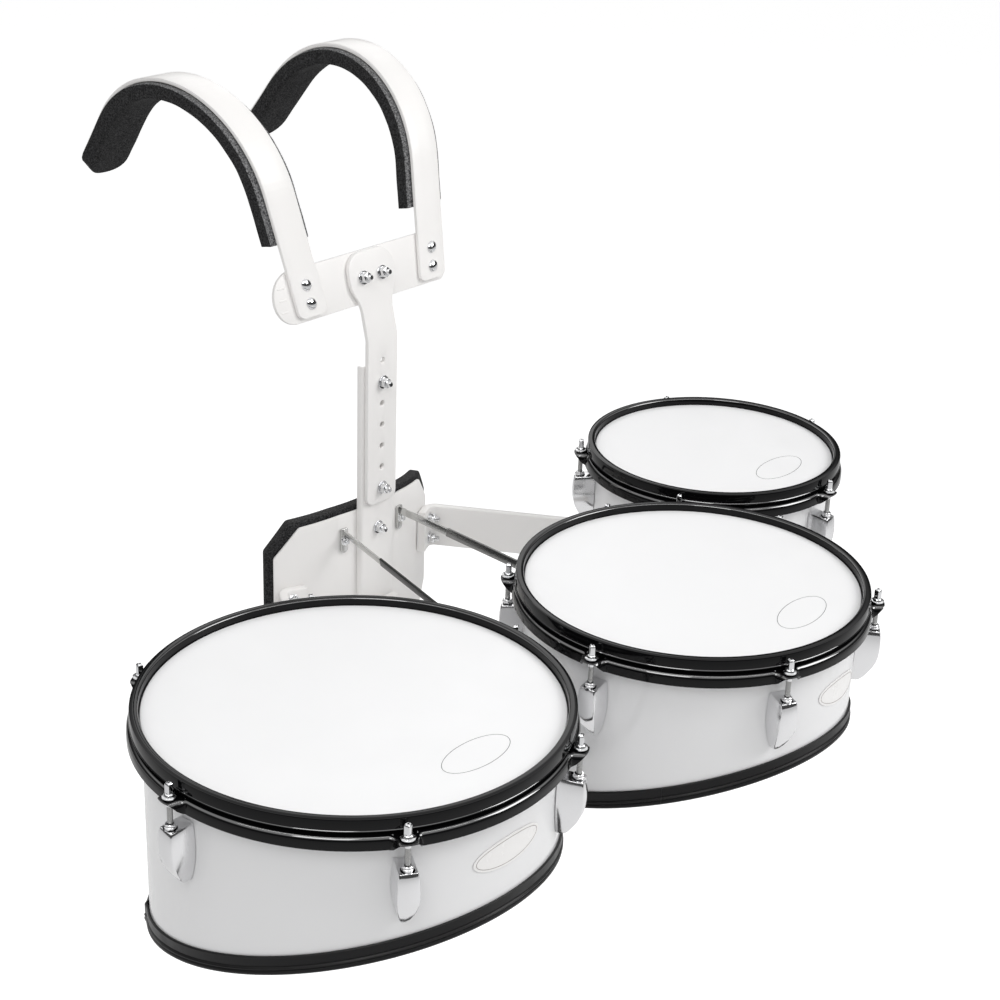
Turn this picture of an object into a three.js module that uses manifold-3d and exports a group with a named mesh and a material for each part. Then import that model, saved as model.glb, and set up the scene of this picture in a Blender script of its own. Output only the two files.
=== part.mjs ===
// Marching tenor drums on a shoulder carrier: three single-headed drums with slanted shells.
// Millimetres. +X is the player's left, -Y is forward, +Z is up.
// The origin lies between the shoulders, on the underside of the shoulder pads at their crown.

import * as THREE from 'three';
import { mergeVertices } from 'three/addons/utils/BufferGeometryUtils.js';
import Module from 'manifold-3d';

const wasm = await Module();
wasm.setup();

// Clearances shared by all pieces
const seatGap = 0.3;
const cutOverrun = 2;

// Drums
const shellWall = 6;
const rightShellRadius = 175.5;
const middleShellRadius = 156.5;
const leftShellRadius = 126;
const rightFrontDepth = 123;
const rightBackDepth = 228;
const otherFrontDepth = 124.5;
const otherBackDepth = 239;
const rightDrumSpacing = 56.3;
const leftDrumSpacing = 42.4;
const rightDrumBearing = THREE.MathUtils.degToRad(170.5);
const leftDrumBearing = THREE.MathUtils.degToRad(32.5);
const roundSteps = 40;

// Heads
const headDrop = 6.5;
const filmThickness = 1.2;
const collarThickness = 1.4;
const fleshHoopWidth = 6;
const fleshHoopHeight = 4.5;

// Counterhoops
const hoopHeight = 26.8;
const hoopWallOffset = 2.1;
const hoopSheet = 2.2;
const lipWidth = 7.6;
const lipHeight = 11.4;
const lipRound = 1.3;
const shoulderHeight = 11.8;
const skirtFlare = 2.8;
const skirtSlope = 4.5;
const earRadius = 8;
const earGap = 22;
const earHoleRadius = 3.5;

// Tension rods and lugs
const rodRadius = 2.75;
const rodOffset = 6.9;
const rodDepthInLug = 20;
const washerRadius = 6.2;
const washerThickness = 1.6;
const rodCollarRadius = 4.4;
const rodCollarHeight = 2.2;
const squareHead = 5.2;
const squareHeadHeight = 9.2;
const headChamfer = 0.9;
const rodSides = 8;
const lugTopDrop = 42;
const lugHeight = 57;
const lugDepth = 22.5;
const lugWidth = 19;
const nutRadius = 5;
const nutHeight = 4.5;
const boreClearance = 0.3;

// Edge trims
const trimHeight = 18;
const trimWall = 2;
const trimBase = 2.5;

// Carrier: height bar and channel
const shoulderToHoops = 366;
const shoulderToBar = 166.1;
const barToMiddleDrum = 406.3;
const carrierLean = THREE.MathUtils.degToRad(14);
const barThickness = 5;
const barWidth = 43;
const barTopWidth = 64;
const barTopCorner = 19;
const barEndCorner = 9;
const barBelowHoops = 57;
const barAboveYokeBolts = 26;
const flareStart = 3;
const flareEnd = 32;
const holePitch = 23.9;
const holeCount = 7;
const barHoleRadius = 3.1;
const topHoleToBarEnd = 160.5;
const channelWidth = 49;
const channelDepth = 8;
const channelWall = 3;
const channelAboveHoops = 99.5;
const channelBelowHoops = 234;
const plateBoltBelowHoops = 88;

// Carrier: yoke plate
const yokeRightReach = 131;
const yokeLeftReach = 108;
const yokeCorner = 8;
const yokeHeight = 54;
const yokeThickness = 4;
const shoulderToYokeBolts = 175;
const yokeBoltSpacing = 26.8;

// Carrier: shoulder straps and pads
const strapWidth = 38;
const strapThickness = 4.5;
const strapSpacing = 179;
const strapBelowBolts = 22.5;
const strapAboveBolts = 100.6;
const archRadius = 125;
const archTurn = THREE.MathUtils.degToRad(128.8);
const strapTail = 66;
const strapSplay = THREE.MathUtils.degToRad(7);
const strapToe = THREE.MathUtils.degToRad(2.6);
const padWidth = 51;
const padThickness = 17;
const padTail = 78;
const padStartBelowArch = 46;
const rivetSpacing = 19.5;
const rivetRadius = 6;
const rivetHeight = 3.2;

// Carrier: belly plate and pad
const plateRadius = 228;
const plateThickness = 3;
const plateTopBelowHoops = 63;
const plateTopFall = 6;
const plateBottomBelowHoops = 236;
const plateCornerHalf = 94;
const plateHalfWidth = 122;
const plateCornerDrop = 32;
const bellyPadThickness = 12;
const bellyPadRise = 5.5;
const bellyPadReach = 9;
const bellyPadCornerReach = 11;

// Carrier: arms and stay rods
const armHeight = 48;
const armThickness = 9;
const rightArmBelowHoops = 135;
const leftArmBelowHoops = 107.5;
const armSpread = 238;
const armFlangeWidth = 30;
const armFootWidth = 34;
const armFootThickness = 4;
const centreArmHeight = 40;
const centreArmBelowHoops = 174;
const stayHeight = 10;
const stayThickness = 3;
const stayHalfSpread = 42;
const stayBelowHoops = 84.5;
const stayToe = THREE.MathUtils.degToRad(8.4);
const stayFall = THREE.MathUtils.degToRad(8.1);
const stayFootHeight = 28;
const stayFootWidth = 9;

// Bolts with washer and hexagon nut, used all over the carrier
const boltWasherRadius = 8;
const boltWasherThickness = 1.5;
const boltNutRadius = 6.4;
const boltNutHeight = 6;
const boltEndRadius = 3;
const boltEndLength = 5;

const white = { color: 0xf2f2f0, roughness: 0.35, metalness: 0 };
const black = { color: 0x141414, roughness: 0.35, metalness: 0.3 };
const chrome = { color: 0xd8dade, roughness: 0.12, metalness: 1 };
const rubber = { color: 0x1c1c1c, roughness: 0.7, metalness: 0 };
const foam = { color: 0x17181a, roughness: 0.95, metalness: 0 };
const film = { color: 0xf4f4f4, roughness: 0.45, metalness: 0 };

const model = new THREE.Group();

function place(name, geometry, look, parent = model) {
  const mesh = new THREE.Mesh(geometry, new THREE.MeshStandardMaterial(look));
  mesh.name = name;
  parent.add(mesh);
  return mesh;
}

function toSolid(geometry) {
  const bare = geometry.clone();
  bare.deleteAttribute('normal');
  bare.deleteAttribute('uv');
  const merged = mergeVertices(bare);
  const mesh = new wasm.Mesh({
    numProp: 3,
    vertProperties: Float32Array.from(merged.attributes.position.array),
    triVerts: Uint32Array.from(merged.index.array),
  });
  return new wasm.Manifold(mesh);
}

function toGeometry(solid) {
  const mesh = solid.getMesh();
  const geometry = new THREE.BufferGeometry();
  geometry.setAttribute('position', new THREE.BufferAttribute(mesh.vertProperties, 3));
  geometry.setIndex(new THREE.BufferAttribute(mesh.triVerts, 1));
  geometry.computeVertexNormals();
  return geometry;
}

function join(...geometries) {
  return toGeometry(geometries.map(toSolid).reduce((sum, next) => sum.add(next)));
}

function cut(body, ...tools) {
  return toGeometry(tools.map(toSolid).reduce((left, tool) => left.subtract(tool), toSolid(body)));
}

function common(first, second) {
  return toGeometry(toSolid(first).intersect(toSolid(second)));
}

// A solid through a row of sections with equal numbers of points, with flat end faces,
// or closed on itself where the row goes all the way round.
function loft(sections, closed = false) {
  const count = sections[0].length;
  const index = [];
  const rows = closed ? sections.length : sections.length - 1;
  for (let row = 0; row < rows; row += 1) {
    const next = (row + 1) % sections.length;
    for (let i = 0; i < count; i += 1) {
      const j = (i + 1) % count;
      index.push(row * count + i, next * count + i, next * count + j);
      index.push(row * count + i, next * count + j, row * count + j);
    }
  }
  if (!closed) {
    const last = (sections.length - 1) * count;
    for (let i = 1; i < count - 1; i += 1) {
      index.push(0, i, i + 1);
      index.push(last, last + i + 1, last + i);
    }
  }
  const geometry = new THREE.BufferGeometry();
  const points = sections.flat().flatMap((point) => point.toArray());
  geometry.setAttribute('position', new THREE.Float32BufferAttribute(points, 3));
  geometry.setIndex(index);
  return facingOut(geometry);
}

function facingOut(geometry) {
  if (signedVolume(geometry) < 0) {
    geometry.setIndex([...geometry.index.array].reverse());
  }
  geometry.computeVertexNormals();
  return geometry;
}

function signedVolume(geometry) {
  const corner = (i) => new THREE.Vector3().fromBufferAttribute(geometry.attributes.position, i);
  const index = geometry.index.array;
  let sum = 0;
  for (let i = 0; i < index.length; i += 3) {
    sum += corner(index[i]).dot(corner(index[i + 1]).cross(corner(index[i + 2])));
  }
  return sum;
}

// A ring about the Z axis; sectionAt gives the section's [radius, height] points at an angle.
function ring(sectionAt) {
  const sections = [];
  for (let step = 0; step < roundSteps; step += 1) {
    const angle = (step / roundSteps) * Math.PI * 2;
    sections.push(sectionAt(angle).map(([r, z]) => (
      new THREE.Vector3(r * Math.cos(angle), r * Math.sin(angle), z)
    )));
  }
  return loft(sections, true);
}

function turned(points, sides = roundSteps) {
  const profile = points.map(([r, z]) => new THREE.Vector2(r, z));
  return facingOut(new THREE.LatheGeometry(profile, sides).rotateX(Math.PI / 2));
}

function rod(radius, bottom, top, sides = rodSides) {
  return turned([[0, bottom], [radius, bottom], [radius, top], [0, top]], sides);
}

function box(width, depth, height) {
  return new THREE.BoxGeometry(width, depth, height);
}

function outline(points) {
  return new THREE.Shape(points.map(([x, y]) => new THREE.Vector2(x, y)));
}

function extrude(shape, depth, curveSegments = 6) {
  return new THREE.ExtrudeGeometry(shape, { depth, bevelEnabled: false, curveSegments });
}

// A side view, drawn as [y, z] points, given a width along X that is centred on X = 0.
function extrudeSideways(shape, width) {
  return extrude(shape, width).translate(0, 0, -width / 2).rotateZ(Math.PI / 2).rotateY(Math.PI / 2);
}

// A washer, nut and bolt end that stand on a face and point forward, along -Y.
function boltHead() {
  const washerTop = boltWasherThickness;
  const nutTop = washerTop + boltNutHeight;
  const head = join(
    rod(boltWasherRadius, -seatGap, washerTop),
    rod(boltNutRadius, washerTop - seatGap, nutTop, 6),
    rod(boltEndRadius, nutTop - seatGap, nutTop + boltEndLength, 8),
  );
  return head.rotateX(Math.PI / 2);
}

function rivetHead() {
  const points = [[0, -seatGap], [rivetRadius, -seatGap], [rivetRadius, 0]];
  for (let step = 1; step <= 3; step += 1) {
    const angle = (step / 3) * Math.PI / 2;
    points.push([rivetRadius * Math.cos(angle), rivetHeight * Math.sin(angle)]);
  }
  return turned(points, rodSides).rotateX(Math.PI / 2);
}

// Drums

const hoopTop = -shoulderToHoops;
const middleY = -shoulderToBar - barToMiddleDrum;
const middleCentre = new THREE.Vector2(0, middleY);

function beside(radius, spacing, bearing) {
  const reach = middleShellRadius + spacing + radius;
  return new THREE.Vector2(Math.cos(bearing), Math.sin(bearing)).multiplyScalar(reach).add(middleCentre);
}

const drums = [
  {
    name: 'right',
    radius: rightShellRadius,
    frontDepth: rightFrontDepth,
    backDepth: rightBackDepth,
    centre: beside(rightShellRadius, rightDrumSpacing, rightDrumBearing),
    lugs: 6,
    firstLug: THREE.MathUtils.degToRad(-123.1),
  },
  {
    name: 'middle',
    radius: middleShellRadius,
    frontDepth: otherFrontDepth,
    backDepth: otherBackDepth,
    centre: middleCentre,
    lugs: 6,
    firstLug: THREE.MathUtils.degToRad(-113.9),
  },
  {
    name: 'left',
    radius: leftShellRadius,
    frontDepth: otherFrontDepth,
    backDepth: otherBackDepth,
    centre: beside(leftShellRadius, leftDrumSpacing, leftDrumBearing),
    lugs: 5,
    firstLug: THREE.MathUtils.degToRad(-158),
  },
];

// Height of a drum's slanted lower edge, measured from its hoop's top.
function lowerEdge(drum, angle) {
  const deeper = (drum.backDepth - drum.frontDepth) / 2;
  return -drum.frontDepth - deeper * (1 + Math.sin(angle));
}

function shell(drum) {
  const top = -headDrop - filmThickness - seatGap;
  const inner = drum.radius - shellWall;
  return ring((angle) => {
    const bottom = lowerEdge(drum, angle);
    return [[drum.radius, top], [drum.radius, bottom], [inner, bottom], [inner, top]];
  });
}

function edgeTrim(drum) {
  const inside = drum.radius - shellWall - seatGap;
  const outside = drum.radius + seatGap;
  return ring((angle) => {
    const seat = lowerEdge(drum, angle) - seatGap;
    const base = seat - trimBase;
    const top = base + trimHeight;
    return [
      [outside, top], [outside + trimWall, top], [outside + trimWall, base],
      [inside - trimWall, base], [inside - trimWall, top], [inside, top],
      [inside, seat], [outside, seat],
    ];
  });
}

function head(radius) {
  const top = -headDrop;
  const inner = radius + seatGap;
  const outer = inner + collarThickness;
  const ringTop = -hoopHeight + shoulderHeight - hoopSheet - seatGap;
  const ringBottom = ringTop - fleshHoopHeight;
  const ringOuter = inner + fleshHoopWidth;
  return turned([
    [0, top], [outer, top], [outer, ringTop], [ringOuter, ringTop],
    [ringOuter, ringBottom], [inner, ringBottom], [inner, top - filmThickness],
    [0, top - filmThickness],
  ]);
}

function rodCircle(radius) {
  return radius + hoopWallOffset + lipWidth + rodOffset;
}

function counterhoop(radius, lugAngles) {
  const wallIn = radius + hoopWallOffset;
  const wallOut = wallIn + hoopSheet;
  const lipOut = wallIn + lipWidth;
  const skirtOut = lipOut + skirtFlare;
  const shoulder = -hoopHeight + shoulderHeight;
  const body = ring(() => [
    [wallIn, -lipRound],
    [wallIn + lipRound, 0],
    [lipOut - lipRound, 0],
    [lipOut, -lipRound],
    [lipOut, -lipHeight],
    [lipOut - hoopSheet, -lipHeight],
    [lipOut - hoopSheet, -hoopSheet],
    [wallOut, -hoopSheet],
    [wallOut, shoulder],
    [skirtOut - hoopSheet, shoulder - hoopSheet / 2],
    [skirtOut, shoulder - skirtSlope],
    [skirtOut, -hoopHeight],
    [skirtOut - hoopSheet, -hoopHeight],
    [skirtOut - hoopSheet, shoulder - skirtSlope],
    [skirtOut - hoopSheet * 2, shoulder - hoopSheet],
    [wallIn, shoulder - hoopSheet],
  ]);
  const earBottom = shoulder - hoopSheet;
  const gaps = [];
  const ears = [];
  const holes = [];
  const reach = rodCircle(radius);
  const skirtIn = radius + seatGap + fleshHoopWidth + seatGap;
  for (const angle of lugAngles) {
    const gapDepth = skirtOut - skirtIn + cutOverrun;
    const gapHeight = hoopHeight - shoulderHeight + cutOverrun;
    const gap = box(gapDepth, earGap, gapHeight);
    gap.translate(skirtIn + gapDepth / 2, 0, shoulder - gapHeight / 2);
    gaps.push(gap.rotateZ(angle));
    const tab = box(reach - wallIn - hoopSheet / 2, earRadius * 2, hoopSheet);
    tab.translate((reach + wallIn + hoopSheet / 2) / 2, 0, shoulder - hoopSheet / 2);
    const eye = rod(earRadius, earBottom, shoulder);
    ears.push(tab.rotateZ(angle), eye.translate(reach, 0, 0).rotateZ(angle));
    const hole = rod(earHoleRadius, earBottom - cutOverrun, shoulder + cutOverrun);
    holes.push(hole.translate(reach, 0, 0).rotateZ(angle));
  }
  return cut(join(cut(body, ...gaps), ...ears), ...holes);
}

// Down the casing: shares of its height, its width and its depth.
const lugShares = [
  [0, 0.8, 1], [0.22, 0.96, 1.03], [0.45, 1, 0.98], [0.72, 0.78, 0.76], [0.9, 0.5, 0.44], [1, 0.2, 0.16],
];

function lug(radius) {
  const back = radius + seatGap;
  const casing = loft(lugShares.map(([down, across, deep]) => {
    const z = -lugTopDrop - down * lugHeight;
    const half = across * lugWidth / 2;
    const front = back + deep * lugDepth;
    return [[back, -half], [front, -half], [front, half], [back, half]].map(([x, y]) => (
      new THREE.Vector3(x, y, z)
    ));
  }));
  const reach = rodCircle(radius);
  const nut = rod(nutRadius, -lugTopDrop - seatGap, -lugTopDrop + nutHeight);
  const boreRadius = rodRadius + boreClearance;
  const boreBottom = -lugTopDrop - rodDepthInLug - seatGap;
  const bore = rod(boreRadius, boreBottom, -lugTopDrop + nutHeight + cutOverrun);
  return cut(join(casing, nut.translate(reach, 0, 0)), bore.translate(reach, 0, 0));
}

function tensionRod() {
  const seat = -hoopHeight + shoulderHeight + seatGap;
  const washerTop = seat + washerThickness;
  const collarTop = washerTop + rodCollarHeight;
  const top = collarTop + squareHeadHeight;
  const stem = turned([
    [0, -lugTopDrop - rodDepthInLug], [rodRadius, -lugTopDrop - rodDepthInLug],
    [rodRadius, seat], [washerRadius, seat], [washerRadius, washerTop],
    [rodCollarRadius, washerTop], [rodCollarRadius, collarTop], [0, collarTop],
  ], rodSides);
  const corner = squareHead / Math.SQRT2;
  const key = turned([
    [0, collarTop - seatGap], [corner, collarTop - seatGap], [corner, top - headChamfer],
    [corner - headChamfer, top], [0, top],
  ], 4);
  return join(stem, key.rotateZ(Math.PI / 4));
}

for (const drum of drums) {
  const group = new THREE.Group();
  group.position.set(drum.centre.x, drum.centre.y, hoopTop);
  model.add(group);
  const angles = [];
  for (let i = 0; i < drum.lugs; i += 1) {
    angles.push(drum.firstLug + (i / drum.lugs) * Math.PI * 2);
  }
  place(`${drum.name}_shell`, shell(drum), white, group);
  place(`${drum.name}_head`, head(drum.radius), film, group);
  place(`${drum.name}_hoop`, counterhoop(drum.radius, angles), black, group);
  place(`${drum.name}_edge_trim`, edgeTrim(drum), rubber, group);
  angles.forEach((angle, i) => {
    place(`${drum.name}_lug_${i + 1}`, lug(drum.radius), chrome, group).rotation.z = angle;
    const reach = rodCircle(drum.radius);
    const stem = place(`${drum.name}_tension_rod_${i + 1}`, tensionRod(), chrome, group);
    stem.position.set(reach * Math.cos(angle), reach * Math.sin(angle), 0);
    stem.rotation.z = angle;
  });
}

// The bar bends back at this height, above the top of the channel at its highest setting.
const bendHeight = hoopTop + channelAboveHoops + holePitch + barThickness;

// Carrier: the leaning frame holds what lies on the chest. Its XZ plane is the back face
// of the height bar's upper part and of the straps' lower ends.

const barFront = -shoulderToBar;
const barBack = barFront + barThickness;
const yokeBoltHeight = -shoulderToYokeBolts;
const bendRise = Math.tan(carrierLean);
const leanFrameY = barBack + (yokeBoltHeight - bendHeight) * bendRise;
const leaning = new THREE.Group();
leaning.position.set(0, leanFrameY, yokeBoltHeight);
leaning.rotation.x = -carrierLean;
model.add(leaning);
leaning.updateMatrix();

function yokePlate() {
  const round = yokeHeight / 2;
  const cornerX = yokeLeftReach - yokeCorner;
  const cornerY = round - yokeCorner;
  const plate = new THREE.Shape();
  plate.absarc(cornerX, -cornerY, yokeCorner, -Math.PI / 2, 0, false);
  plate.absarc(cornerX, cornerY, yokeCorner, 0, Math.PI / 2, false);
  plate.absarc(-yokeRightReach + round, 0, round, Math.PI / 2, Math.PI * 1.5, false);
  return extrude(plate, yokeThickness, 10).rotateX(Math.PI / 2).translate(0, yokeThickness + seatGap, 0);
}

place('yoke_plate', yokePlate(), white, leaning);

// The height bar is what its side view and its front view have in common.
function heightBar() {
  const bottom = hoopTop - barBelowHoops;
  const top = yokeBoltHeight + barAboveYokeBolts;
  const lean = (z) => (z - bendHeight) * bendRise;
  const across = barThickness / Math.cos(carrierLean) - barThickness;
  const side = outline([
    [barFront, bottom - cutOverrun], [barBack, bottom - cutOverrun], [barBack, bendHeight],
    [barBack + lean(top + cutOverrun), top + cutOverrun],
    [barFront - across + lean(top + cutOverrun), top + cutOverrun],
    [barFront, bendHeight + across / bendRise],
  ]);
  const profile = extrudeSideways(side, barTopWidth);
  const wide = barTopWidth / 2;
  const narrow = barWidth / 2;
  const front = new THREE.Shape();
  front.moveTo(-narrow, bottom + barEndCorner);
  front.absarc(-narrow + barEndCorner, bottom + barEndCorner, barEndCorner, Math.PI, Math.PI * 1.5, false);
  front.absarc(narrow - barEndCorner, bottom + barEndCorner, barEndCorner, Math.PI * 1.5, Math.PI * 2, false);
  front.lineTo(narrow, yokeBoltHeight - flareEnd);
  const middle = yokeBoltHeight - (flareStart + flareEnd) / 2;
  front.bezierCurveTo(narrow, middle, wide, middle, wide, yokeBoltHeight - flareStart);
  front.absarc(wide - barTopCorner, top - barTopCorner, barTopCorner, 0, Math.PI / 2, false);
  front.absarc(-wide + barTopCorner, top - barTopCorner, barTopCorner, Math.PI / 2, Math.PI, false);
  front.lineTo(-wide, yokeBoltHeight - flareStart);
  front.bezierCurveTo(-wide, middle, -narrow, middle, -narrow, yokeBoltHeight - flareEnd);
  front.closePath();
  const depth = barThickness + lean(top) + cutOverrun * 2;
  const face = extrude(front, depth, 5).rotateX(Math.PI / 2).translate(0, barFront - cutOverrun + depth, 0);
  const holes = [];
  for (let i = 0; i < holeCount; i += 1) {
    const hole = rod(barHoleRadius, -cutOverrun, barThickness + cutOverrun, 8).rotateX(-Math.PI / 2);
    holes.push(hole.translate(0, barFront, bottom + topHoleToBarEnd - i * holePitch));
  }
  const bar = cut(common(profile, face), ...holes);
  const heads = [1, holeCount - 1].map((i) => (
    boltHead().translate(0, barFront, bottom + topHoleToBarEnd - i * holePitch)
  ));
  for (const side of [-1, 1]) {
    const bolt = boltHead().translate(side * yokeBoltSpacing / 2, -barThickness, 0);
    heads.push(bolt.applyMatrix4(leaning.matrix));
  }
  return join(bar, ...heads);
}

place('height_bar', heightBar(), white);

const channelFront = barBack + seatGap;

function heightChannel() {
  const half = channelWidth / 2;
  const inner = half - channelWall;
  const back = channelDepth;
  const section = outline([
    [-half, 0], [half, 0], [half, back], [inner, back], [inner, channelWall],
    [-inner, channelWall], [-inner, back], [-half, back],
  ]);
  const rail = extrude(section, channelAboveHoops + channelBelowHoops);
  rail.translate(0, channelFront, hoopTop - channelBelowHoops);
  return join(rail, boltHead().translate(0, channelFront, hoopTop - plateBoltBelowHoops));
}

place('height_channel', heightChannel(), white);

// Shoulder straps and pads: one arch each, seen from the side, drawn by its underside.
// The lower straight part lies in the leaning frame's plane.

function archPoint(along, inward) {
  const turn = THREE.MathUtils.clamp(along / archRadius, 0, archTurn);
  const heading = carrierLean + turn;
  const radius = archRadius - inward;
  const past = along - turn * archRadius;
  const y = -Math.cos(heading) * radius + Math.sin(heading) * past;
  const z = Math.sin(heading) * radius + Math.cos(heading) * past;
  return [y, z];
}

// Place of the arch's centre, from where its straight part leaves the leaning frame.
const archCentre = (() => {
  const start = new THREE.Vector3(0, 0, strapAboveBolts).applyMatrix4(leaning.matrix);
  const [y, z] = archPoint(0, 0);
  return new THREE.Vector2(start.y - y, start.z - z);
})();

function archBand(from, to, outer, inner, width) {
  const stops = [from];
  const turns = 16;
  for (let i = 0; i <= turns; i += 1) {
    stops.push((i / turns) * archTurn * archRadius);
  }
  stops.push(archTurn * archRadius + to);
  const above = stops.map((along) => archPoint(along, outer));
  const below = stops.map((along) => archPoint(along, inner)).reverse();
  const band = extrudeSideways(outline([...above, ...below]), width);
  return band.translate(0, archCentre.x, archCentre.y);
}

// Leans a piece of the player's left strap outwards and, towards the back, away from the neck.
function splayed(geometry, mirror) {
  const shear = new THREE.Matrix4().makeShear(0, 0, Math.tan(strapToe), 0, Math.tan(strapSplay), 0);
  const lift = new THREE.Matrix4().makeTranslation(0, -leanFrameY, -yokeBoltHeight);
  const back = new THREE.Matrix4().makeTranslation(strapSpacing / 2, leanFrameY, yokeBoltHeight);
  const whole = back.multiply(shear).multiply(lift);
  const left = geometry.applyMatrix4(whole);
  return mirror > 0 ? left : mirrored(left);
}

function mirrored(geometry) {
  const flipped = geometry.index ? geometry.toNonIndexed() : geometry;
  flipped.scale(-1, 1, 1);
  const position = flipped.attributes.position;
  const order = [];
  for (let i = 0; i < position.count; i += 3) {
    order.push(i, i + 2, i + 1);
  }
  flipped.setIndex(order);
  return flipped;
}

for (const [side, mirror] of [['right', -1], ['left', 1]]) {
  const strap = archBand(-strapAboveBolts - strapBelowBolts, strapTail, -strapThickness, 0, strapWidth);
  const rivets = [-1, 1].map((step) => {
    const rivet = rivetHead().translate(0, -strapThickness, step * rivetSpacing / 2);
    return rivet.applyMatrix4(leaning.matrix);
  });
  place(`${side}_shoulder_strap`, splayed(join(strap, ...rivets), mirror), white);
  const pad = archBand(-padStartBelowArch, padTail, seatGap, padThickness, padWidth);
  place(`${side}_shoulder_pad`, splayed(pad, mirror), foam);
}

// Belly plate: an upright sheet bent round the player, seated on the edges of the channel.

const channelBack = channelFront + channelDepth;
const channelHalf = channelWidth / 2;
const plateAxisY = channelBack + seatGap + Math.sqrt(plateRadius ** 2 - channelHalf ** 2);

// One point of the sheet at a distance along its bend, and how far behind its front face.
function onPlate(along, depth, z) {
  const angle = along / plateRadius;
  const radius = plateRadius - depth;
  return new THREE.Vector3(radius * Math.sin(angle), plateAxisY - radius * Math.cos(angle), z);
}

// A sheet that stands past the plate's edges by rise above and below, by reach at its sides
// and by cornerReach where its corners begin. Plate and pad bend at the same places.
function bentSheet(depthFront, depthBack, rise, reach, cornerReach) {
  const corner = plateCornerHalf + cornerReach;
  const half = plateHalfWidth + reach;
  const top = hoopTop - plateTopBelowHoops + rise;
  const bottom = hoopTop - plateBottomBelowHoops - rise;
  const padCorner = plateCornerHalf + bellyPadCornerReach;
  const stops = [-half, -padCorner];
  const flat = 10;
  for (let i = 0; i <= flat; i += 1) {
    stops.push((i / flat * 2 - 1) * plateCornerHalf);
  }
  stops.push(padCorner, half);
  return loft(stops.map((along) => {
    const share = Math.min(Math.abs(along) / plateCornerHalf, 1);
    const past = Math.max(Math.abs(along) - corner, 0) / (half - corner);
    const drop = past * plateCornerDrop;
    const high = top - plateTopFall * share ** 2 - drop;
    const low = bottom + drop;
    return [
      onPlate(along, depthFront, high), onPlate(along, depthBack, high),
      onPlate(along, depthBack, low), onPlate(along, depthFront, low),
    ];
  }));
}

place('belly_plate', bentSheet(0, plateThickness, 0, 0, 0), white);
const padFront = plateThickness + seatGap;
const padBack = padFront + bellyPadThickness;
place('belly_pad', bentSheet(padFront, padBack, bellyPadRise, bellyPadReach, bellyPadCornerReach), foam);

// A curved foot that lies on a drum's shell, facing the angle given, about the drum's axis.
function shellFoot(radius, angle, width, height, thickness) {
  const inner = radius + seatGap;
  const outer = inner + thickness;
  const band = ring(() => [
    [inner, -height / 2], [outer, -height / 2], [outer, height / 2], [inner, height / 2],
  ]);
  const window = box(radius, width, height + cutOverrun).translate(radius, 0, 0);
  return common(band, window.rotateZ(angle));
}

// An upright flat bar between two points seen from above.
function uprightBar(from, to, thickness, height) {
  const run = new THREE.Vector2().subVectors(to, from);
  const bar = box(run.length(), thickness, height).translate(run.length() / 2, 0, 0);
  return bar.rotateZ(run.angle()).translate(from.x, from.y, 0);
}

// A flange on the plate, and from its outer end a bar that runs to a foot on the drum's shell.
function sideArm(drum, side, below) {
  const along = side * (armSpread - armFlangeWidth) / 2;
  const seat = onPlate(along, -seatGap, 0);
  const turn = along / plateRadius;
  const bend = new THREE.Vector2(side * (armFlangeWidth - armThickness) / 2, -armThickness / 2);
  const start = bend.rotateAround(new THREE.Vector2(), turn).add(new THREE.Vector2(seat.x, seat.y));
  const toward = new THREE.Vector2().subVectors(drum.centre, start);
  const footAngle = toward.angle() + Math.PI;
  const reach = toward.length() - drum.radius - seatGap - armFootThickness / 2;
  const end = toward.setLength(reach).add(start);
  const flange = box(armFlangeWidth, armThickness, armHeight).translate(0, -armThickness / 2, 0);
  const foot = shellFoot(drum.radius, footAngle, armFootWidth, armHeight, armFootThickness);
  const bolts = [-1, 1].map((step) => boltHead().translate(0, -armThickness, step * armHeight / 4));
  const arm = join(
    uprightBar(start, end, armThickness, armHeight),
    foot.translate(drum.centre.x, drum.centre.y, 0),
    ...[flange, ...bolts].map((piece) => piece.rotateZ(turn).translate(seat.x, seat.y, 0)),
  );
  return arm.translate(0, 0, hoopTop - below - armHeight / 2);
}

place('right_arm', sideArm(drums[0], -1, rightArmBelowHoops), white);
place('left_arm', sideArm(drums[2], 1, leftArmBelowHoops), white);

function centreArm() {
  const drum = drums[1];
  const start = new THREE.Vector2(0, channelFront - seatGap - armThickness / 2);
  const end = new THREE.Vector2(0, drum.centre.y + drum.radius + seatGap + armFootThickness / 2);
  const bar = uprightBar(start, end, armThickness, centreArmHeight);
  const flange = box(channelWidth, armThickness, centreArmHeight).translate(0, start.y, 0);
  const foot = shellFoot(drum.radius, Math.PI / 2, armFootWidth, centreArmHeight, armFootThickness);
  const bolts = [-1, 1].map((side) => (
    boltHead().translate(side * channelWidth / 4, start.y - armThickness / 2, 0)
  ));
  const arm = join(bar, flange, foot.translate(0, drum.centre.y, 0), ...bolts);
  return arm.translate(0, 0, hoopTop - centreArmBelowHoops - centreArmHeight / 2);
}

place('centre_arm', centreArm(), white);

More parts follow.
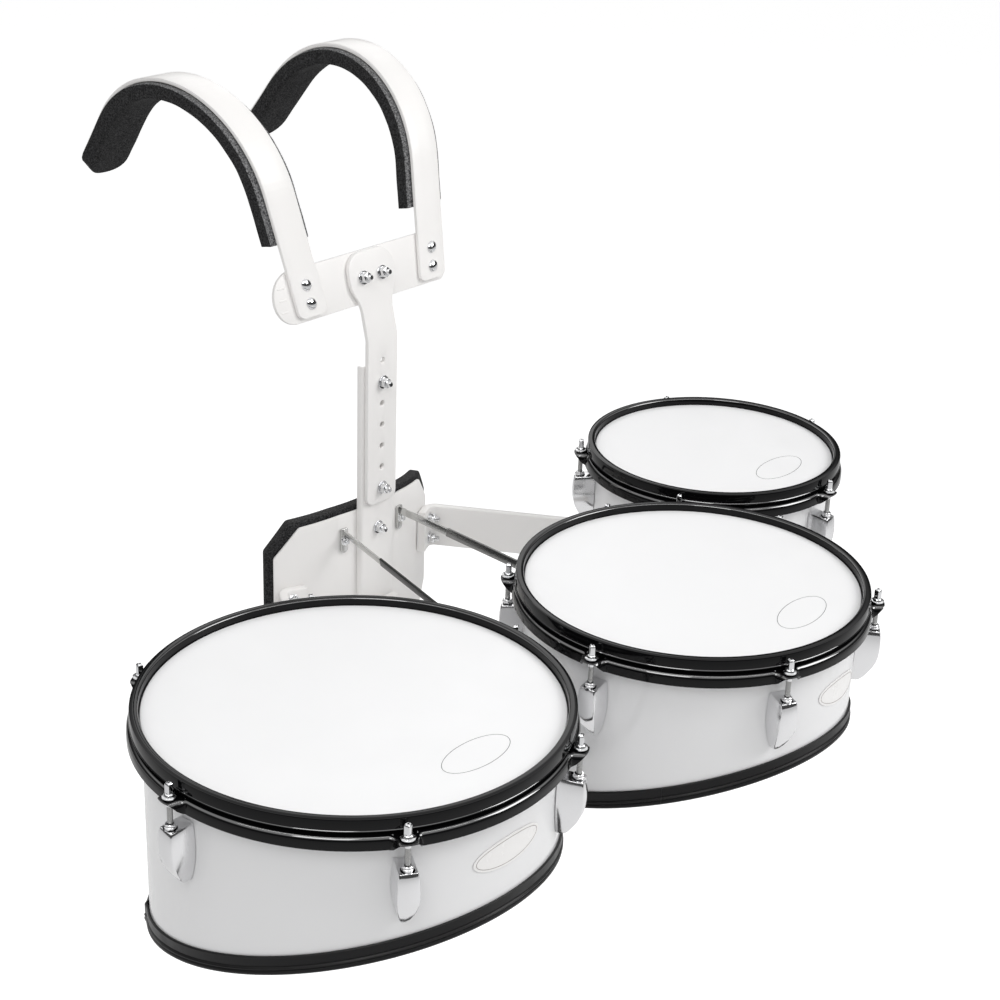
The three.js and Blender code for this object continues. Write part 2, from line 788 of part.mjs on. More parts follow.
// Stay rods: flat strips from the belly plate forward and down to the middle drum's shell.
function stayRod(side) {
  const drum = drums[1];
  const base = onPlate(stayHalfSpread, -seatGap, 0);
  const start = new THREE.Vector3(base.x, base.y - stayThickness / 2, 0);
  const heading = new THREE.Vector3(Math.tan(stayToe), -1, -Math.tan(stayFall));
  const offset = new THREE.Vector2(start.x, start.y - drum.centre.y);
  const seatRadius = drum.radius + seatGap + stayThickness / 2;
  const slope = heading.x ** 2 + heading.y ** 2;
  const turn = offset.x * heading.x + offset.y * heading.y;
  const run = (-turn - Math.sqrt(turn ** 2 - slope * (offset.lengthSq() - seatRadius ** 2))) / slope;
  const end = heading.clone().multiplyScalar(run).add(start);
  const sections = [start, end].map((point) => (
    [[-1, -1], [1, -1], [1, 1], [-1, 1]].map(([x, z]) => new THREE.Vector3(
      point.x + x * stayThickness / 2, point.y, point.z + z * stayHeight / 2,
    ))
  ));
  const strip = loft(sections);
  const plateFoot = box(stayFootWidth, stayThickness, stayFootHeight);
  plateFoot.translate(0, -stayThickness / 2, -stayFootHeight / 2 + stayHeight / 2);
  plateFoot.rotateZ(stayHalfSpread / plateRadius).translate(base.x, base.y, 0);
  const footAngle = Math.atan2(end.y - drum.centre.y, end.x);
  const foot = shellFoot(drum.radius, footAngle, stayFootWidth, stayFootHeight, stayThickness);
  foot.translate(0, drum.centre.y, end.z - stayFootHeight / 2 + stayHeight / 2);
  const rodShape = join(strip, plateFoot, foot).translate(0, 0, hoopTop - stayBelowHoops);
  return side > 0 ? rodShape : mirrored(rodShape);
}

place('right_stay_rod', stayRod(-1), chrome);
place('left_stay_rod', stayRod(1), chrome);

export default model;
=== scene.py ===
"""Marching tenor drums on a shoulder carrier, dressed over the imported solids.
Each piece is drawn in millimetres in its own corner of the frame and brought to metres when finished."""

import math

import bmesh
import bpy
from mathutils import Matrix, Vector, noise


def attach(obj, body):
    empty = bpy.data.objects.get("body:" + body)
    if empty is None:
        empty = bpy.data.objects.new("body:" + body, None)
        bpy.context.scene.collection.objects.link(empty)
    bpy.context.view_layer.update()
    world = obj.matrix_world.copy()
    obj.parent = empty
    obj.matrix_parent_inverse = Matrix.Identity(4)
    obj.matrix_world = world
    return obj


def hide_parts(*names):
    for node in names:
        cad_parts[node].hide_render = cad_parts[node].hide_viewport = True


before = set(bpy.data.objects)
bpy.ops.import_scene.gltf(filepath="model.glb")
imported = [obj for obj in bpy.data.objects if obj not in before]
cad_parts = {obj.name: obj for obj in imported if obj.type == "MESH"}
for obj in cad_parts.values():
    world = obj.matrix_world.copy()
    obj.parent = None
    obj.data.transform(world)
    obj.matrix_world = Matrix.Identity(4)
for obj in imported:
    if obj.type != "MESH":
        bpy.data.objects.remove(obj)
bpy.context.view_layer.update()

# Drum shells: plywood tubes with a gloss white covering, open below and cut on a slant, short in front.
# The covering is wrapped round once and laps over itself at the back. The plies show inside, and the
# upper edge is bevelled to carry the head.

HOOP_TOP = -366
SHELL_WALL = 6
LAP_START, LAP_TURN = math.radians(96), math.radians(5)
DRUMS = {
    "right": dict(centre=(-382.975, -508.312), radius=175.5, front=123, back=228, lugs=6, first_lug=-123.1),
    "middle": dict(centre=(0, -572.4), radius=156.5, front=124.5, back=239, lugs=6, first_lug=-113.9),
    "left": dict(centre=(274.018, -397.831), radius=126, front=124.5, back=239, lugs=5, first_lug=-158),
}


def spot(x=0, y=0, z=0, turn=0):
    """A place, and a turn there about the upright axis."""
    return Matrix.Translation((x, y, z)) @ Matrix.Rotation(turn, 4, "Z")


for drum in DRUMS.values():
    drum["place"] = spot(*drum["centre"], HOOP_TOP)
    drum["middle_depth"] = (drum["front"] + drum["back"]) / 2
    drum["slant"] = Matrix.Identity(4)
    drum["slant"][2][1] = (drum["front"] - drum["back"]) / 2 / drum["radius"]
    drum["lug_turns"] = [
        math.radians(drum["first_lug"]) + math.tau * i / drum["lugs"] for i in range(drum["lugs"])
    ]


def add(tree, kind, inputs=None, **settings):
    """Puts a shader node in a tree, sets it up, and joins or fills the inputs named."""
    made = tree.nodes.new("ShaderNode" + kind)
    for key, value in settings.items():
        setattr(made, key, value)
    for key, value in (inputs or {}).items():
        if isinstance(value, bpy.types.NodeSocket):
            tree.links.new(value, made.inputs[key])
        else:
            made.inputs[key].default_value = value
    return made


def grains(tree, size, detail):
    """Noise over a piece, in object coordinates."""
    place = add(tree, "TexCoord").outputs["Object"]
    return add(tree, "TexNoise", {"Vector": place, "Scale": size, "Detail": detail}).outputs["Fac"]


def times(tree, first, second):
    """The product of two values."""
    return add(tree, "Math", {0: first, 1: second}, operation="MULTIPLY").outputs[0]


def facing_up(tree):
    """How far a surface looks upwards, from -1 to 1."""
    return add(tree, "SeparateXYZ", {"Vector": add(tree, "NewGeometry").outputs["Normal"]}).outputs["Z"]


def new_group(name, output, inputs):
    """An empty shader group with its number or colour sockets, and its two end nodes."""
    tree = bpy.data.node_groups.new(name, "ShaderNodeTree")
    kinds = {"Colour": "NodeSocketColor"}
    for label, value in inputs.items():
        kind = kinds.get(label, "NodeSocketFloat")
        tree.interface.new_socket(label, in_out="INPUT", socket_type=kind).default_value = value
    tree.interface.new_socket(output, in_out="OUTPUT", socket_type=kinds.get(output, "NodeSocketFloat"))
    return tree, tree.nodes.new("NodeGroupInput").outputs, tree.nodes.new("NodeGroupOutput").inputs[output]


def mottle_group():
    """Slow cloudy change of a value over a surface, for uneven gloss."""
    tree, given, out = new_group("mottle", "Value", {"Size": 40.0, "Low": 0.2, "High": 0.3})
    spread = add(tree, "MapRange", {
        "Value": grains(tree, given["Size"], 4.0), "From Min": 0.35, "From Max": 0.65,
        "To Min": given["Low"], "To Max": given["High"],
    })
    tree.links.new(spread.outputs["Result"], out)
    return tree


def dust_group():
    """A thin film of dust that lies on what faces up, more in some places than in others."""
    tree, given, out = new_group("dust", "Colour", {"Colour": (0.8, 0.8, 0.8, 1), "Amount": 0.1})
    up = add(tree, "MapRange", {"Value": facing_up(tree), "From Min": 0.1, "From Max": 1.0})
    patch = times(tree, up.outputs["Result"], grains(tree, 55.0, 6.0))
    mix = add(tree, "Mix", {
        "Factor": times(tree, patch, given["Amount"]), 6: given["Colour"], 7: (0.55, 0.54, 0.52, 1),
    }, data_type="RGBA")
    tree.links.new(mix.outputs[2], out)
    return tree


def ripple_group():
    """The fine waviness of a sprayed, moulded or rolled surface, as a height."""
    tree, given, out = new_group("ripple", "Height", {"Size": 400.0, "Depth": 0.2})
    tree.links.new(times(tree, grains(tree, given["Size"], 2.0), given["Depth"]), out)
    return tree


MOTTLE, DUST, RIPPLE = mottle_group(), dust_group(), ripple_group()


def finish_material(name, colour, rough, metal=0.0, dust=0.0, mottle=40.0, ripple=(400.0, 0.2), **constants):
    """A finish with a little dust, a fine waviness, and a roughness between the two values in rough."""
    material = bpy.data.materials.new(name)
    material.use_nodes = True
    tree = material.node_tree
    shader = tree.nodes["Principled BSDF"]
    uneven = add(tree, "Group", {"Size": mottle, "Low": rough[0], "High": rough[1]}, node_tree=MOTTLE)
    tree.links.new(uneven.outputs["Value"], shader.inputs["Roughness"])
    if dust:
        dusty = add(tree, "Group", {"Colour": (*colour, 1), "Amount": dust}, node_tree=DUST, name="dust")
        tree.links.new(dusty.outputs["Colour"], shader.inputs["Base Color"])
    else:
        shader.inputs["Base Color"].default_value = (*colour, 1)
    waves = add(tree, "Group", {"Size": ripple[0], "Depth": ripple[1]}, node_tree=RIPPLE)
    bump = add(tree, "Bump", {
        "Height": waves.outputs["Height"], "Strength": 0.25, "Distance": 0.0004,
    }, name="bump")
    tree.links.new(bump.outputs["Normal"], shader.inputs["Normal"])
    shader.inputs["Metallic"].default_value = metal
    for key, value in constants.items():
        shader.inputs[key].default_value = value
    return material


def two_shades(tree, value, low, high):
    """A ramp between two colours, each given with its position."""
    ramp = add(tree, "ValToRGB", {"Fac": value})
    for element, (position, colour) in zip(ramp.color_ramp.elements, (low, high)):
        element.position, element.color = position, (*colour, 1)
    return ramp.outputs["Color"]


def loop(bm, points):
    """Points joined in a closed loop."""
    verts = [bm.verts.new(point) for point in points]
    return verts, [bm.edges.new(pair) for pair in zip(verts, verts[1:] + verts[:1])]


def outward(bm):
    """Makes all faces look outwards."""
    bmesh.ops.recalc_face_normals(bm, faces=bm.faces)
    return bm


def placed(bm, matrix, verts=None):
    """Moves a mesh, or some of its points, by a matrix."""
    bmesh.ops.transform(bm, matrix=matrix, verts=verts or bm.verts)
    return bm


def spun(profile, steps=120, turn=math.tau, start=0.0, around=0):
    """A closed profile of (radius, height) points, turned about the upright axis. Its radii are counted
    from the one given as around."""
    bm = bmesh.new()
    verts, edges = loop(bm, [(around + r, 0, z) for r, z in profile])
    bmesh.ops.rotate(bm, verts=verts, matrix=Matrix.Rotation(start, 3, "Z"))
    whole = turn >= math.tau
    bmesh.ops.spin(
        bm, geom=verts + edges, cent=(0, 0, 0), axis=(0, 0, 1), angle=turn, steps=steps, use_merge=whole
    )
    bmesh.ops.remove_doubles(bm, verts=bm.verts, dist=1e-4)
    if not whole:
        bmesh.ops.holes_fill(bm, edges=[e for e in bm.edges if e.is_boundary])
    return outward(bm)


def joined(*parts):
    """Several meshes brought together in one, without being welded."""
    whole = parts[0]
    for part in parts[1:]:
        mesh = bpy.data.meshes.new("part")
        part.to_mesh(mesh)
        part.free()
        whole.from_mesh(mesh)
        bpy.data.meshes.remove(mesh)
    return whole


def finished(bm, name, materials, stands_for=None, place=Matrix(), body="drum_rack", crease=38):
    """Brings a mesh to its place and to metres, and makes it a piece that rides on a body."""
    placed(bm, Matrix.Scale(0.001, 4) @ place)
    mesh = bpy.data.meshes.new(name)
    bm.to_mesh(mesh)
    bm.free()
    for material in materials:
        mesh.materials.append(material)
    mesh.shade_smooth()
    mesh.set_sharp_from_angle(angle=math.radians(crease))
    piece = bpy.data.objects.new(name, mesh)
    bpy.context.scene.collection.objects.link(piece)
    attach(piece, body)
    if stands_for:
        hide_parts(stands_for)
    return piece


shell_covering = finish_material(
    "white_shell_covering", (0.81, 0.81, 0.816), (0.14, 0.22), dust=0.03, ripple=(60.0, 0.5),
    **{"Coat Weight": 0.3, "Coat Roughness": 0.08},
)


def plywood_material():
    """Bare maple ply inside the shells, its grain running round the drum."""
    material = finish_material("bare_maple_ply", (0.6, 0.42, 0.24), (0.45, 0.6), mottle=30.0)
    tree = material.node_tree
    place = add(tree, "TexCoord").outputs["Object"]
    long = add(tree, "Mapping", {"Vector": place, "Scale": (3.0, 3.0, 120.0)})
    grain = add(tree, "TexNoise", {"Vector": long.outputs["Vector"], "Scale": 2.2, "Detail": 8.0})
    shades = two_shades(tree, grain.outputs["Fac"], (0.32, (0.42, 0.26, 0.13)), (0.7, (0.66, 0.48, 0.29)))
    tree.links.new(shades, tree.nodes["Principled BSDF"].inputs["Base Color"])
    return material


bare_ply = plywood_material()

for name, drum in DRUMS.items():
    outer, bottom = drum["radius"], -drum["middle_depth"]
    edge = [(-1.6, -8.5), (-3, -8.5), (-SHELL_WALL, -13)]
    tube = spun([*edge, (-SHELL_WALL, bottom), (0, bottom), (0, -10)], around=outer)
    lap_section = [(-0.3, -30), (-0.3, bottom), (0.25, bottom), (0.25, -30)]
    tube = joined(tube, spun(lap_section, steps=6, turn=LAP_TURN, start=LAP_START, around=outer))
    placed(tube, drum["slant"], [v for v in tube.verts if v.co.z < bottom / 2])
    for face in tube.faces:
        centre = face.calc_center_median()
        face.material_index = 1 if math.hypot(centre.x, centre.y) < outer - 1 else 0
    finished(
        tube, f"{name}_shell_tube", [shell_covering, bare_ply], f"{name}_shell", drum["place"]
    )

# Edge trims: a black rubber channel pushed over the slanted lower edge of each shell.
# Its outer wall is smooth above and has two fine beads below. The two ends meet in a butt joint,
# where they may stand off the shell a little.

SEAT_GAP = 0.3
TRIM_HIGH, TRIM_WALL, TRIM_FLOOR = 18, 2, 2.5
TRIM_JOINTS = {"right": (139, 1.8), "middle": (-150, 0), "left": (80, 1.2)}
JOINT_GAP = math.radians(0.04)
LOOSE_LENGTH = 12

trim_rubber = finish_material(
    "black_edge_rubber", (0.008, 0.008, 0.0085), (0.3, 0.42), dust=0.03, ripple=(900.0, 0.4),
    **{"Specular IOR Level": 0.18},
)


def wrapped(angle):
    """The same angle, between minus and plus half a turn."""
    return (angle + math.pi) % math.tau - math.pi


for name, drum in DRUMS.items():
    outer, inner = drum["radius"] + SEAT_GAP, drum["radius"] - SHELL_WALL - SEAT_GAP
    seat = -drum["middle_depth"] - SEAT_GAP
    base, wall = seat - TRIM_FLOOR, outer + TRIM_WALL
    top = base + TRIM_HIGH
    profile = [
        (outer, top), (outer + 1.2, top), (wall, top - 0.8), (wall, base + 9.4),
        (wall - 0.8, base + 8.9), (wall - 0.8, base + 8.4), (wall + 0.2, base + 7.6),
        (wall + 0.8, base + 6.6),
        (wall + 0.7, base + 5.8), (wall - 0.4, base + 5.3), (wall - 0.4, base + 4.8), (wall + 0.5, base + 4),
        (wall + 0.8, base + 2.8), (wall + 0.6, base + 1.6), (wall - 0.4, base + 0.5), (wall - 1.6, base),
        (inner - 1.2, base), (inner - 2, base + 0.8), (inner - 2, top - 0.6), (inner - 1.4, top),
        (inner, top), (inner, seat), (outer, seat),
    ]
    bearing, loose = TRIM_JOINTS[name]
    start = math.radians(bearing)
    band = spun(profile, steps=150, turn=math.tau - JOINT_GAP, start=start + JOINT_GAP / 2)
    placed(band, drum["slant"])
    for vert in band.verts:
        away = abs(wrapped(math.atan2(vert.co.y, vert.co.x) - start)) * drum["radius"]
        lift = max(0, 1 - away / LOOSE_LENGTH) ** 2 * loose
        vert.co.x *= 1 + lift / drum["radius"]
        vert.co.y *= 1 + lift / drum["radius"]
    finished(band, f"{name}_rubber_edge", [trim_rubber], f"{name}_edge_trim", drum["place"])

# Lugs: hollow chromed castings, screwed to the shell from inside with two screws each.
# The raised rim of the top frames a socket, in which a swivel nut takes the tension rod. The socket is
# painted near black: painted shade in the recess.

ROD_CIRCLE = 16.6
LUG_TOP = -42
SOCKET_RADIUS, SOCKET_DEPTH = 5.8, 5
SCREW_LEVELS = (-55, -85)
LUG_SECTIONS = [
    (0.0, 0.80, 0.0, 0.955), (0.1, 0.88, 0.3, 1.0), (0.22, 0.95, 0.5, 1.02), (0.35, 0.99, 0.6, 1.02),
    (0.48, 0.98, 0.6, 0.99), (0.6, 0.91, 0.5, 0.92), (0.7, 0.8, 0.4, 0.81), (0.79, 0.68, 0.3, 0.68),
    (0.87, 0.54, 0.2, 0.55), (0.93, 0.41, 0.1, 0.44), (0.97, 0.28, 0.0, 0.35), (0.993, 0.13, 0.0, 0.28),
]

lug_chrome = finish_material(
    "polished_chrome", (0.77, 0.77, 0.78), (0.1, 0.18), metal=1.0, mottle=60.0, ripple=(250.0, 0.15),
)
# Painted shade: the socket's walls and floor are near black.
socket_painted_shade = finish_material("socket_painted_shade", (0.02, 0.02, 0.022), (0.5, 0.7))
steel_screw = finish_material("zinc_plated_steel", (0.55, 0.55, 0.54), (0.22, 0.4), metal=1.0, mottle=120.0)


def lofted(sections):
    """A skin drawn over closed sections that follow one another, shut at both ends."""
    bm = bmesh.new()
    rows = [loop(bm, points)[1] for points in sections]
    for before, after in zip(rows, rows[1:]):
        bmesh.ops.bridge_loops(bm, edges=before + after)
    for end in (rows[0], rows[-1]):
        bmesh.ops.contextual_create(bm, geom=end)
    return outward(bm)


def softened(bm, edges, offset, segments=3):
    """Rounds edges off."""
    bmesh.ops.bevel(
        bm, geom=edges, offset=offset, segments=segments, profile=0.5, affect="EDGES", material=-1
    )
    return bm


def circle(bm, radius, segments=24, **at):
    """The points and the edges of a circle."""
    verts = bmesh.ops.create_circle(bm, segments=segments, radius=radius, cap_ends=False, **at)["verts"]
    return verts, list({edge for vert in verts for edge in vert.link_edges})


def only(geom, kind):
    """What is of one kind among points, edges and faces."""
    return [part for part in geom if isinstance(part, kind)]


def lug_casing(radius):
    """The casting, its top at LUG_TOP and sloping down outwards, its back on the shell. Each section's four
    numbers are shares: its place down the casting, its width, the crown of its front face, and its depth."""
    back, wide, deep, high, slope, crown = radius + SEAT_GAP, 19.0, 22.5, 57.0, 1.8, 1.6
    sections = []
    for down, across, round_share, out in LUG_SECTIONS:
        half = across * wide / 2
        face = back + out * deep
        corners = [
            (back, -half), (face - 1.3, -half), (face - 0.4, -half + 0.4), (face, -half + 1.2),
            (face + round_share * crown, 0),
            (face, half - 1.2), (face - 0.4, half - 0.4), (face - 1.3, half), (back, half),
        ]
        level = LUG_TOP - down * high
        lean = slope if down == 0 else 0
        sections.append([(x, y, level - lean * (x - back) / deep) for x, y in corners])
    bm = lofted(sections)
    top = max(bm.faces, key=lambda face: face.calc_center_median().z)
    softened(bm, list(top.edges), 0.5, segments=2)
    top = max(bm.faces, key=lambda face: face.calc_area() if face.normal.z > 0.9 else 0)
    rim = list(top.edges)
    bmesh.ops.delete(bm, geom=[top], context="FACES_ONLY")
    hole, mouth = circle(bm, SOCKET_RADIUS)
    for vert in hole:
        vert.co.x += radius + ROD_CIRCLE
        vert.co.z = LUG_TOP - slope * (vert.co.x - back) / deep
    bmesh.ops.triangle_fill(bm, edges=rim + mouth, use_beauty=True)
    grown = bmesh.ops.extrude_edge_only(bm, edges=mouth)["geom"]
    for vert in only(grown, bmesh.types.BMVert):
        vert.co.z = LUG_TOP - SOCKET_DEPTH
    floor = [edge for edge in only(grown, bmesh.types.BMEdge) if edge.is_boundary]
    bmesh.ops.contextual_create(bm, geom=floor)
    outward(bm)
    # Faces inside the socket take the painted shade.
    for face in bm.faces:
        centre = face.calc_center_median()
        in_socket = math.hypot(centre.x - radius - ROD_CIRCLE, centre.y) < SOCKET_RADIUS - 0.01
        if in_socket and LUG_TOP - SOCKET_DEPTH - 0.5 < centre.z < LUG_TOP - slope:
            face.material_index = 1
    return bm


def swivel_nut(radius):
    """A round nut with a collar, its top just above the lug."""
    bm = spun([
        (2.8, 3.4), (3.9, 3.4), (4.3, 3), (4.3, 1.6), (4.5, 1.3), (5, 1), (5, 0.2), (4.6, -0.1),
        (4.6, -4), (2.8, -4),
    ], steps=28)
    return placed(bm, spot(radius + ROD_CIRCLE, 0, LUG_TOP))


def lug_screw(radius, level):
    """A screw head and washer inside the shell."""
    bm = spun([
        (0, 0), (6, 0), (6, 1.0), (4.6, 1.0), (4.3, 2.4), (3, 3.3), (1.2, 3.6), (1.2, 2.6), (0, 2.6),
    ], steps=16)
    return placed(bm, spot(radius - SHELL_WALL - 0.05, 0, level) @ Matrix.Rotation(-math.pi / 2, 4, "Y"))


for name, drum in DRUMS.items():
    radius = drum["radius"]
    for i, turn in enumerate(drum["lug_turns"], 1):
        place = drum["place"] @ spot(turn=turn)
        finished(
            lug_casing(radius), f"{name}_lug_casting_{i}", [lug_chrome, socket_painted_shade],
            f"{name}_lug_{i}", place,
        )
        finished(swivel_nut(radius), f"{name}_swivel_nut_{i}", [lug_chrome], place=place)
        screws = joined(*[lug_screw(radius, level) for level in SCREW_LEVELS])
        finished(screws, f"{name}_lug_screws_{i}", [steel_screw], place=place)

# Drum heads: white plastic film, formed to a collar that goes over the shell's edge. The film is glued
# into an aluminium ring, which the counterhoop presses down.

HEAD_LEVEL = -6.5

head_film = finish_material(
    "white_drumhead_film", (0.87, 0.87, 0.875), (0.34, 0.46), dust=0.03, mottle=25.0, ripple=(1200.0, 0.3),
)
ring_aluminium = finish_material("plain_aluminium", (0.6, 0.6, 0.61), (0.3, 0.45), metal=1.0, mottle=90.0)

for name, drum in DRUMS.items():
    radius = drum["radius"]
    film = spun([
        (-radius, HEAD_LEVEL), (-8, HEAD_LEVEL), (-2, -6.55), (0.6, -6.9), (1.4, -7.8), (1.7, -10),
        (1.7, -17.6), (0.4, -17.6), (0.4, -10), (-0.5, -8.4), (-3, -7.7), (-radius, -7.7),
    ], around=radius)
    finished(film, f"{name}_head_film", [head_film], f"{name}_head", drum["place"])
    ring = spun([
        (0.4, -17.7), (5.6, -17.7), (6.3, -18.4), (6.3, -21.3), (5.6, -22), (1, -22), (0.4, -21.4),
    ], around=radius)
    finished(ring, f"{name}_head_ring", [ring_aluminium], place=drum["place"])

# Ovals: a plain oval line is printed on each head near the front, and a thin oval badge of white plastic
# with a line inside its edge is glued to each shell. Both are blank.

HEAD_OVALS = {"right": (10.8, -125.5, 1.6), "middle": (19.5, -110.1, 8.7), "left": (8.4, -79.5, 4.8)}
HEAD_OVAL_SIZE = (37.4, 17.6)
BADGES = {"right": (-90.9, -66.5, 1.5), "middle": (-80.6, -70.8, -7.6), "left": (-79, -68, 0)}
BADGE_LONG, BADGE_SHORT, BADGE_THICK, BADGE_SLICES = 38.6, 13.6, 0.5, 30
BADGE_LINE_SIZE = (36, 11.3)
LINE_WIDTH = 0.5

print_ink = finish_material("grey_printing_ink", (0.09, 0.09, 0.095), (0.4, 0.5), mottle=60.0)
badge_white = finish_material("badge_plastic", (0.87, 0.86, 0.85), (0.24, 0.28), mottle=60.0)
badge_line = finish_material("badge_line", (0.3, 0.27, 0.26), (0.3, 0.4), mottle=60.0)


def thickened(bm, way):
    """Draws flat faces out along a way, to a closed solid."""
    grown = bmesh.ops.extrude_face_region(bm, geom=list(bm.faces))["geom"]
    bmesh.ops.translate(bm, vec=way, verts=only(grown, bmesh.types.BMVert))
    return outward(bm)


def sharp_edges(bm):
    """The edges where faces meet at a marked angle."""
    return [edge for edge in bm.edges if edge.calc_face_angle(0) > 0.8]


def cut(bm, point, way=(1, 0, 0)):
    """Adds edges where a plane goes through."""
    geom = list(bm.verts) + list(bm.edges) + list(bm.faces)
    bmesh.ops.bisect_plane(bm, geom=geom, plane_co=point, plane_no=way, dist=1e-4)


def oval_badge():
    """The badge lying flat, cut across into slices so that it can be bent."""
    bm = bmesh.new()
    bmesh.ops.create_circle(bm, segments=96, radius=1, cap_ends=True, cap_tris=True)
    bmesh.ops.scale(bm, vec=(BADGE_LONG, BADGE_SHORT, 1), verts=bm.verts)
    thickened(bm, (0, 0, BADGE_THICK))
    rim = [edge for edge in sharp_edges(bm) if min(v.co.z for v in edge.verts) > BADGE_THICK / 2]
    softened(bm, rim, 0.3, segments=2)
    for i in range(1, BADGE_SLICES):
        cut(bm, ((2 * i / BADGE_SLICES - 1) * BADGE_LONG, 0, 0))
    return bm


def oval_line(long, short, low, high):
    """A closed flat line round an oval."""
    bm = bmesh.new()
    rows = []
    for shrink, height in ((0, low), (0, high), (LINE_WIDTH, high), (LINE_WIDTH, low)):
        verts, edges = circle(bm, 1, segments=96)
        bmesh.ops.scale(bm, vec=(long - shrink, short - shrink, 1), verts=verts)
        bmesh.ops.translate(bm, vec=(0, 0, height), verts=verts)
        rows.append(edges)
    for outer, inner in zip(rows, rows[1:] + rows[:1]):
        bmesh.ops.bridge_loops(bm, edges=outer + inner)
    return outward(bm)


for name, (x, y, tilt) in HEAD_OVALS.items():
    place = DRUMS[name]["place"] @ spot(x, y, HEAD_LEVEL, math.radians(tilt))
    line = oval_line(*HEAD_OVAL_SIZE, 0.02, 0.07)
    finished(line, f"{name}_head_oval", [print_ink], place=place)
for name, (bearing, height, tilt) in BADGES.items():
    radius = DRUMS[name]["radius"] + SEAT_GAP
    plate, line = oval_badge(), oval_line(*BADGE_LINE_SIZE, 0.45, 0.62)
    for bm, label, material in ((plate, "badge", badge_white), (line, "badge_line", badge_line)):
        placed(bm, spot(turn=math.radians(tilt)))
        for vert in bm.verts:
            angle = math.radians(bearing) + vert.co.x / radius
            reach = radius + vert.co.z
            vert.co = Vector((reach * math.cos(angle), reach * math.sin(angle), height + vert.co.y))
        finished(bm, f"{name}_{label}", [material], place=DRUMS[name]["place"], crease=12)

# Counterhoops: pressed steel, gloss black, with a square-shouldered lip above and a skirt below.
# At each lug the skirt is folded outwards to a rounded ear, and the tension rod's washer bears on the ear.
# The paint has gathered on the rounded edges, which mirror more light than the flat faces.

FOLD_OUT, FOLD_LEVEL, FOLD_TURN = 9, -16.2, math.radians(83)
EAR_CIRCLE, EAR_FLAT, EAR_EASE, EAR_HALF = 16, 6.5, 7, 9
EAR_DROP, EAR_STRETCH, EAR_ROUND, EAR_THINNING = 1.6, 0.1, 0.26, 0.25


def hoop_material():
    """Gloss black paint, with a clear coat where a surface looks half upwards."""
    material = finish_material(
        "gloss_black_hoop", (0.003, 0.003, 0.0034), (0.06, 0.1), ripple=(120.0, 0.1),
        **{"Specular IOR Level": 0.2, "Coat IOR": 2.3, "Coat Roughness": 0.05},
    )
    tree = material.node_tree
    thick_paint = add(tree, "ValToRGB", {"Fac": facing_up(tree)})
    stops = thick_paint.color_ramp.elements
    for position, share in ((0.3, 0), (0.55, 0.9), (0.84, 0.9), (0.94, 0)):
        stops.new(position).color = (share, share, share, 1)
    stops.remove(stops[-1])
    tree.links.new(thick_paint.outputs["Color"], tree.nodes["Principled BSDF"].inputs["Coat Weight"])
    return material


hoop_black = hoop_material()


def fell(value):
    """Falls smoothly from 1 to 0 as the value goes from 0 to 1."""
    share = max(0, min(1, value))
    return 1 - share * share * (3 - 2 * share)


def counterhoop(drum):
    """The turned section, and then the skirt folded outwards at each lug."""
    radius = drum["radius"]
    bm = spun([
        (2.1, -1.4), (2.5, -0.5), (3.4, 0), (8.2, 0), (9.3, -0.5), (9.7, -1.6), (9.7, -9.3), (9.75, -10),
        (10.1, -10.35), (10.3, -10.8), (10.1, -11.2), (9.5, -11.4), (7, -11.3), (5.8, -11.8), (5.3, -13),
        (5.7, -14.2), (6.8, -14.8), (8.6, -15), (10, -15.4), (11.2, -16.2), (12, -17.4), (12.4, -19.2),
        (12.5, -22), (12.5, -26.2), (12, -26.8), (10.8, -26.8), (10.4, -26.2), (10.3, -20),
        (9.4, -18), (7.6, -17.3), (2.1, -17.2),
    ], steps=840, around=radius)
    for vert in bm.verts:
        turn = math.atan2(vert.co.y, vert.co.x)
        reach = math.hypot(vert.co.x, vert.co.y)
        along, down = reach - radius - FOLD_OUT, vert.co.z - FOLD_LEVEL
        if along < 0 or down > 0.9:
            continue
        away = min(abs(wrapped(turn - lug)) for lug in drum["lug_turns"]) * (radius + EAR_CIRCLE)
        folded = fell((away - EAR_FLAT) / EAR_EASE)
        cos, sin = math.cos(FOLD_TURN * folded), math.sin(FOLD_TURN * folded)
        rounding = EAR_ROUND * math.sqrt(max(0, 1 - (away / EAR_HALF) ** 2))
        stretch = 1 + folded * (EAR_STRETCH + rounding)
        wide = radius + FOLD_OUT + (along * cos - down * sin) * stretch
        level = FOLD_LEVEL - EAR_DROP * folded
        vert.co.z = level + (along * sin + down * cos) * (1 - EAR_THINNING * folded)
        vert.co.x *= wide / reach
        vert.co.y *= wide / reach
    return bm


for name, drum in DRUMS.items():
    hoop = counterhoop(drum)
    finished(hoop, f"{name}_counterhoop", [hoop_black], f"{name}_hoop", drum["place"])

# Tension rods: chromed steel screws with a square key head, a collar and a loose washer.
# Each one turns in its swivel nut, so it rides on a body of its own.

KEY_SIZE, KEY_MIDDLE = (5.2, 5.2, 9.4), -6.4
KEY_STEP = math.radians(45)

rod_chrome = finish_material("bright_chrome_rod", (0.74, 0.745, 0.755), (0.06, 0.13), metal=1.0, mottle=150.0)


def own_relief(material, height, strength, distance):
    """Puts a relief of the material's own in place of the fine waviness."""
    tree = material.node_tree
    bump = tree.nodes["bump"]
    bump.inputs["Strength"].default_value = strength
    bump.inputs["Distance"].default_value = distance
    tree.links.new(height, bump.inputs["Height"])


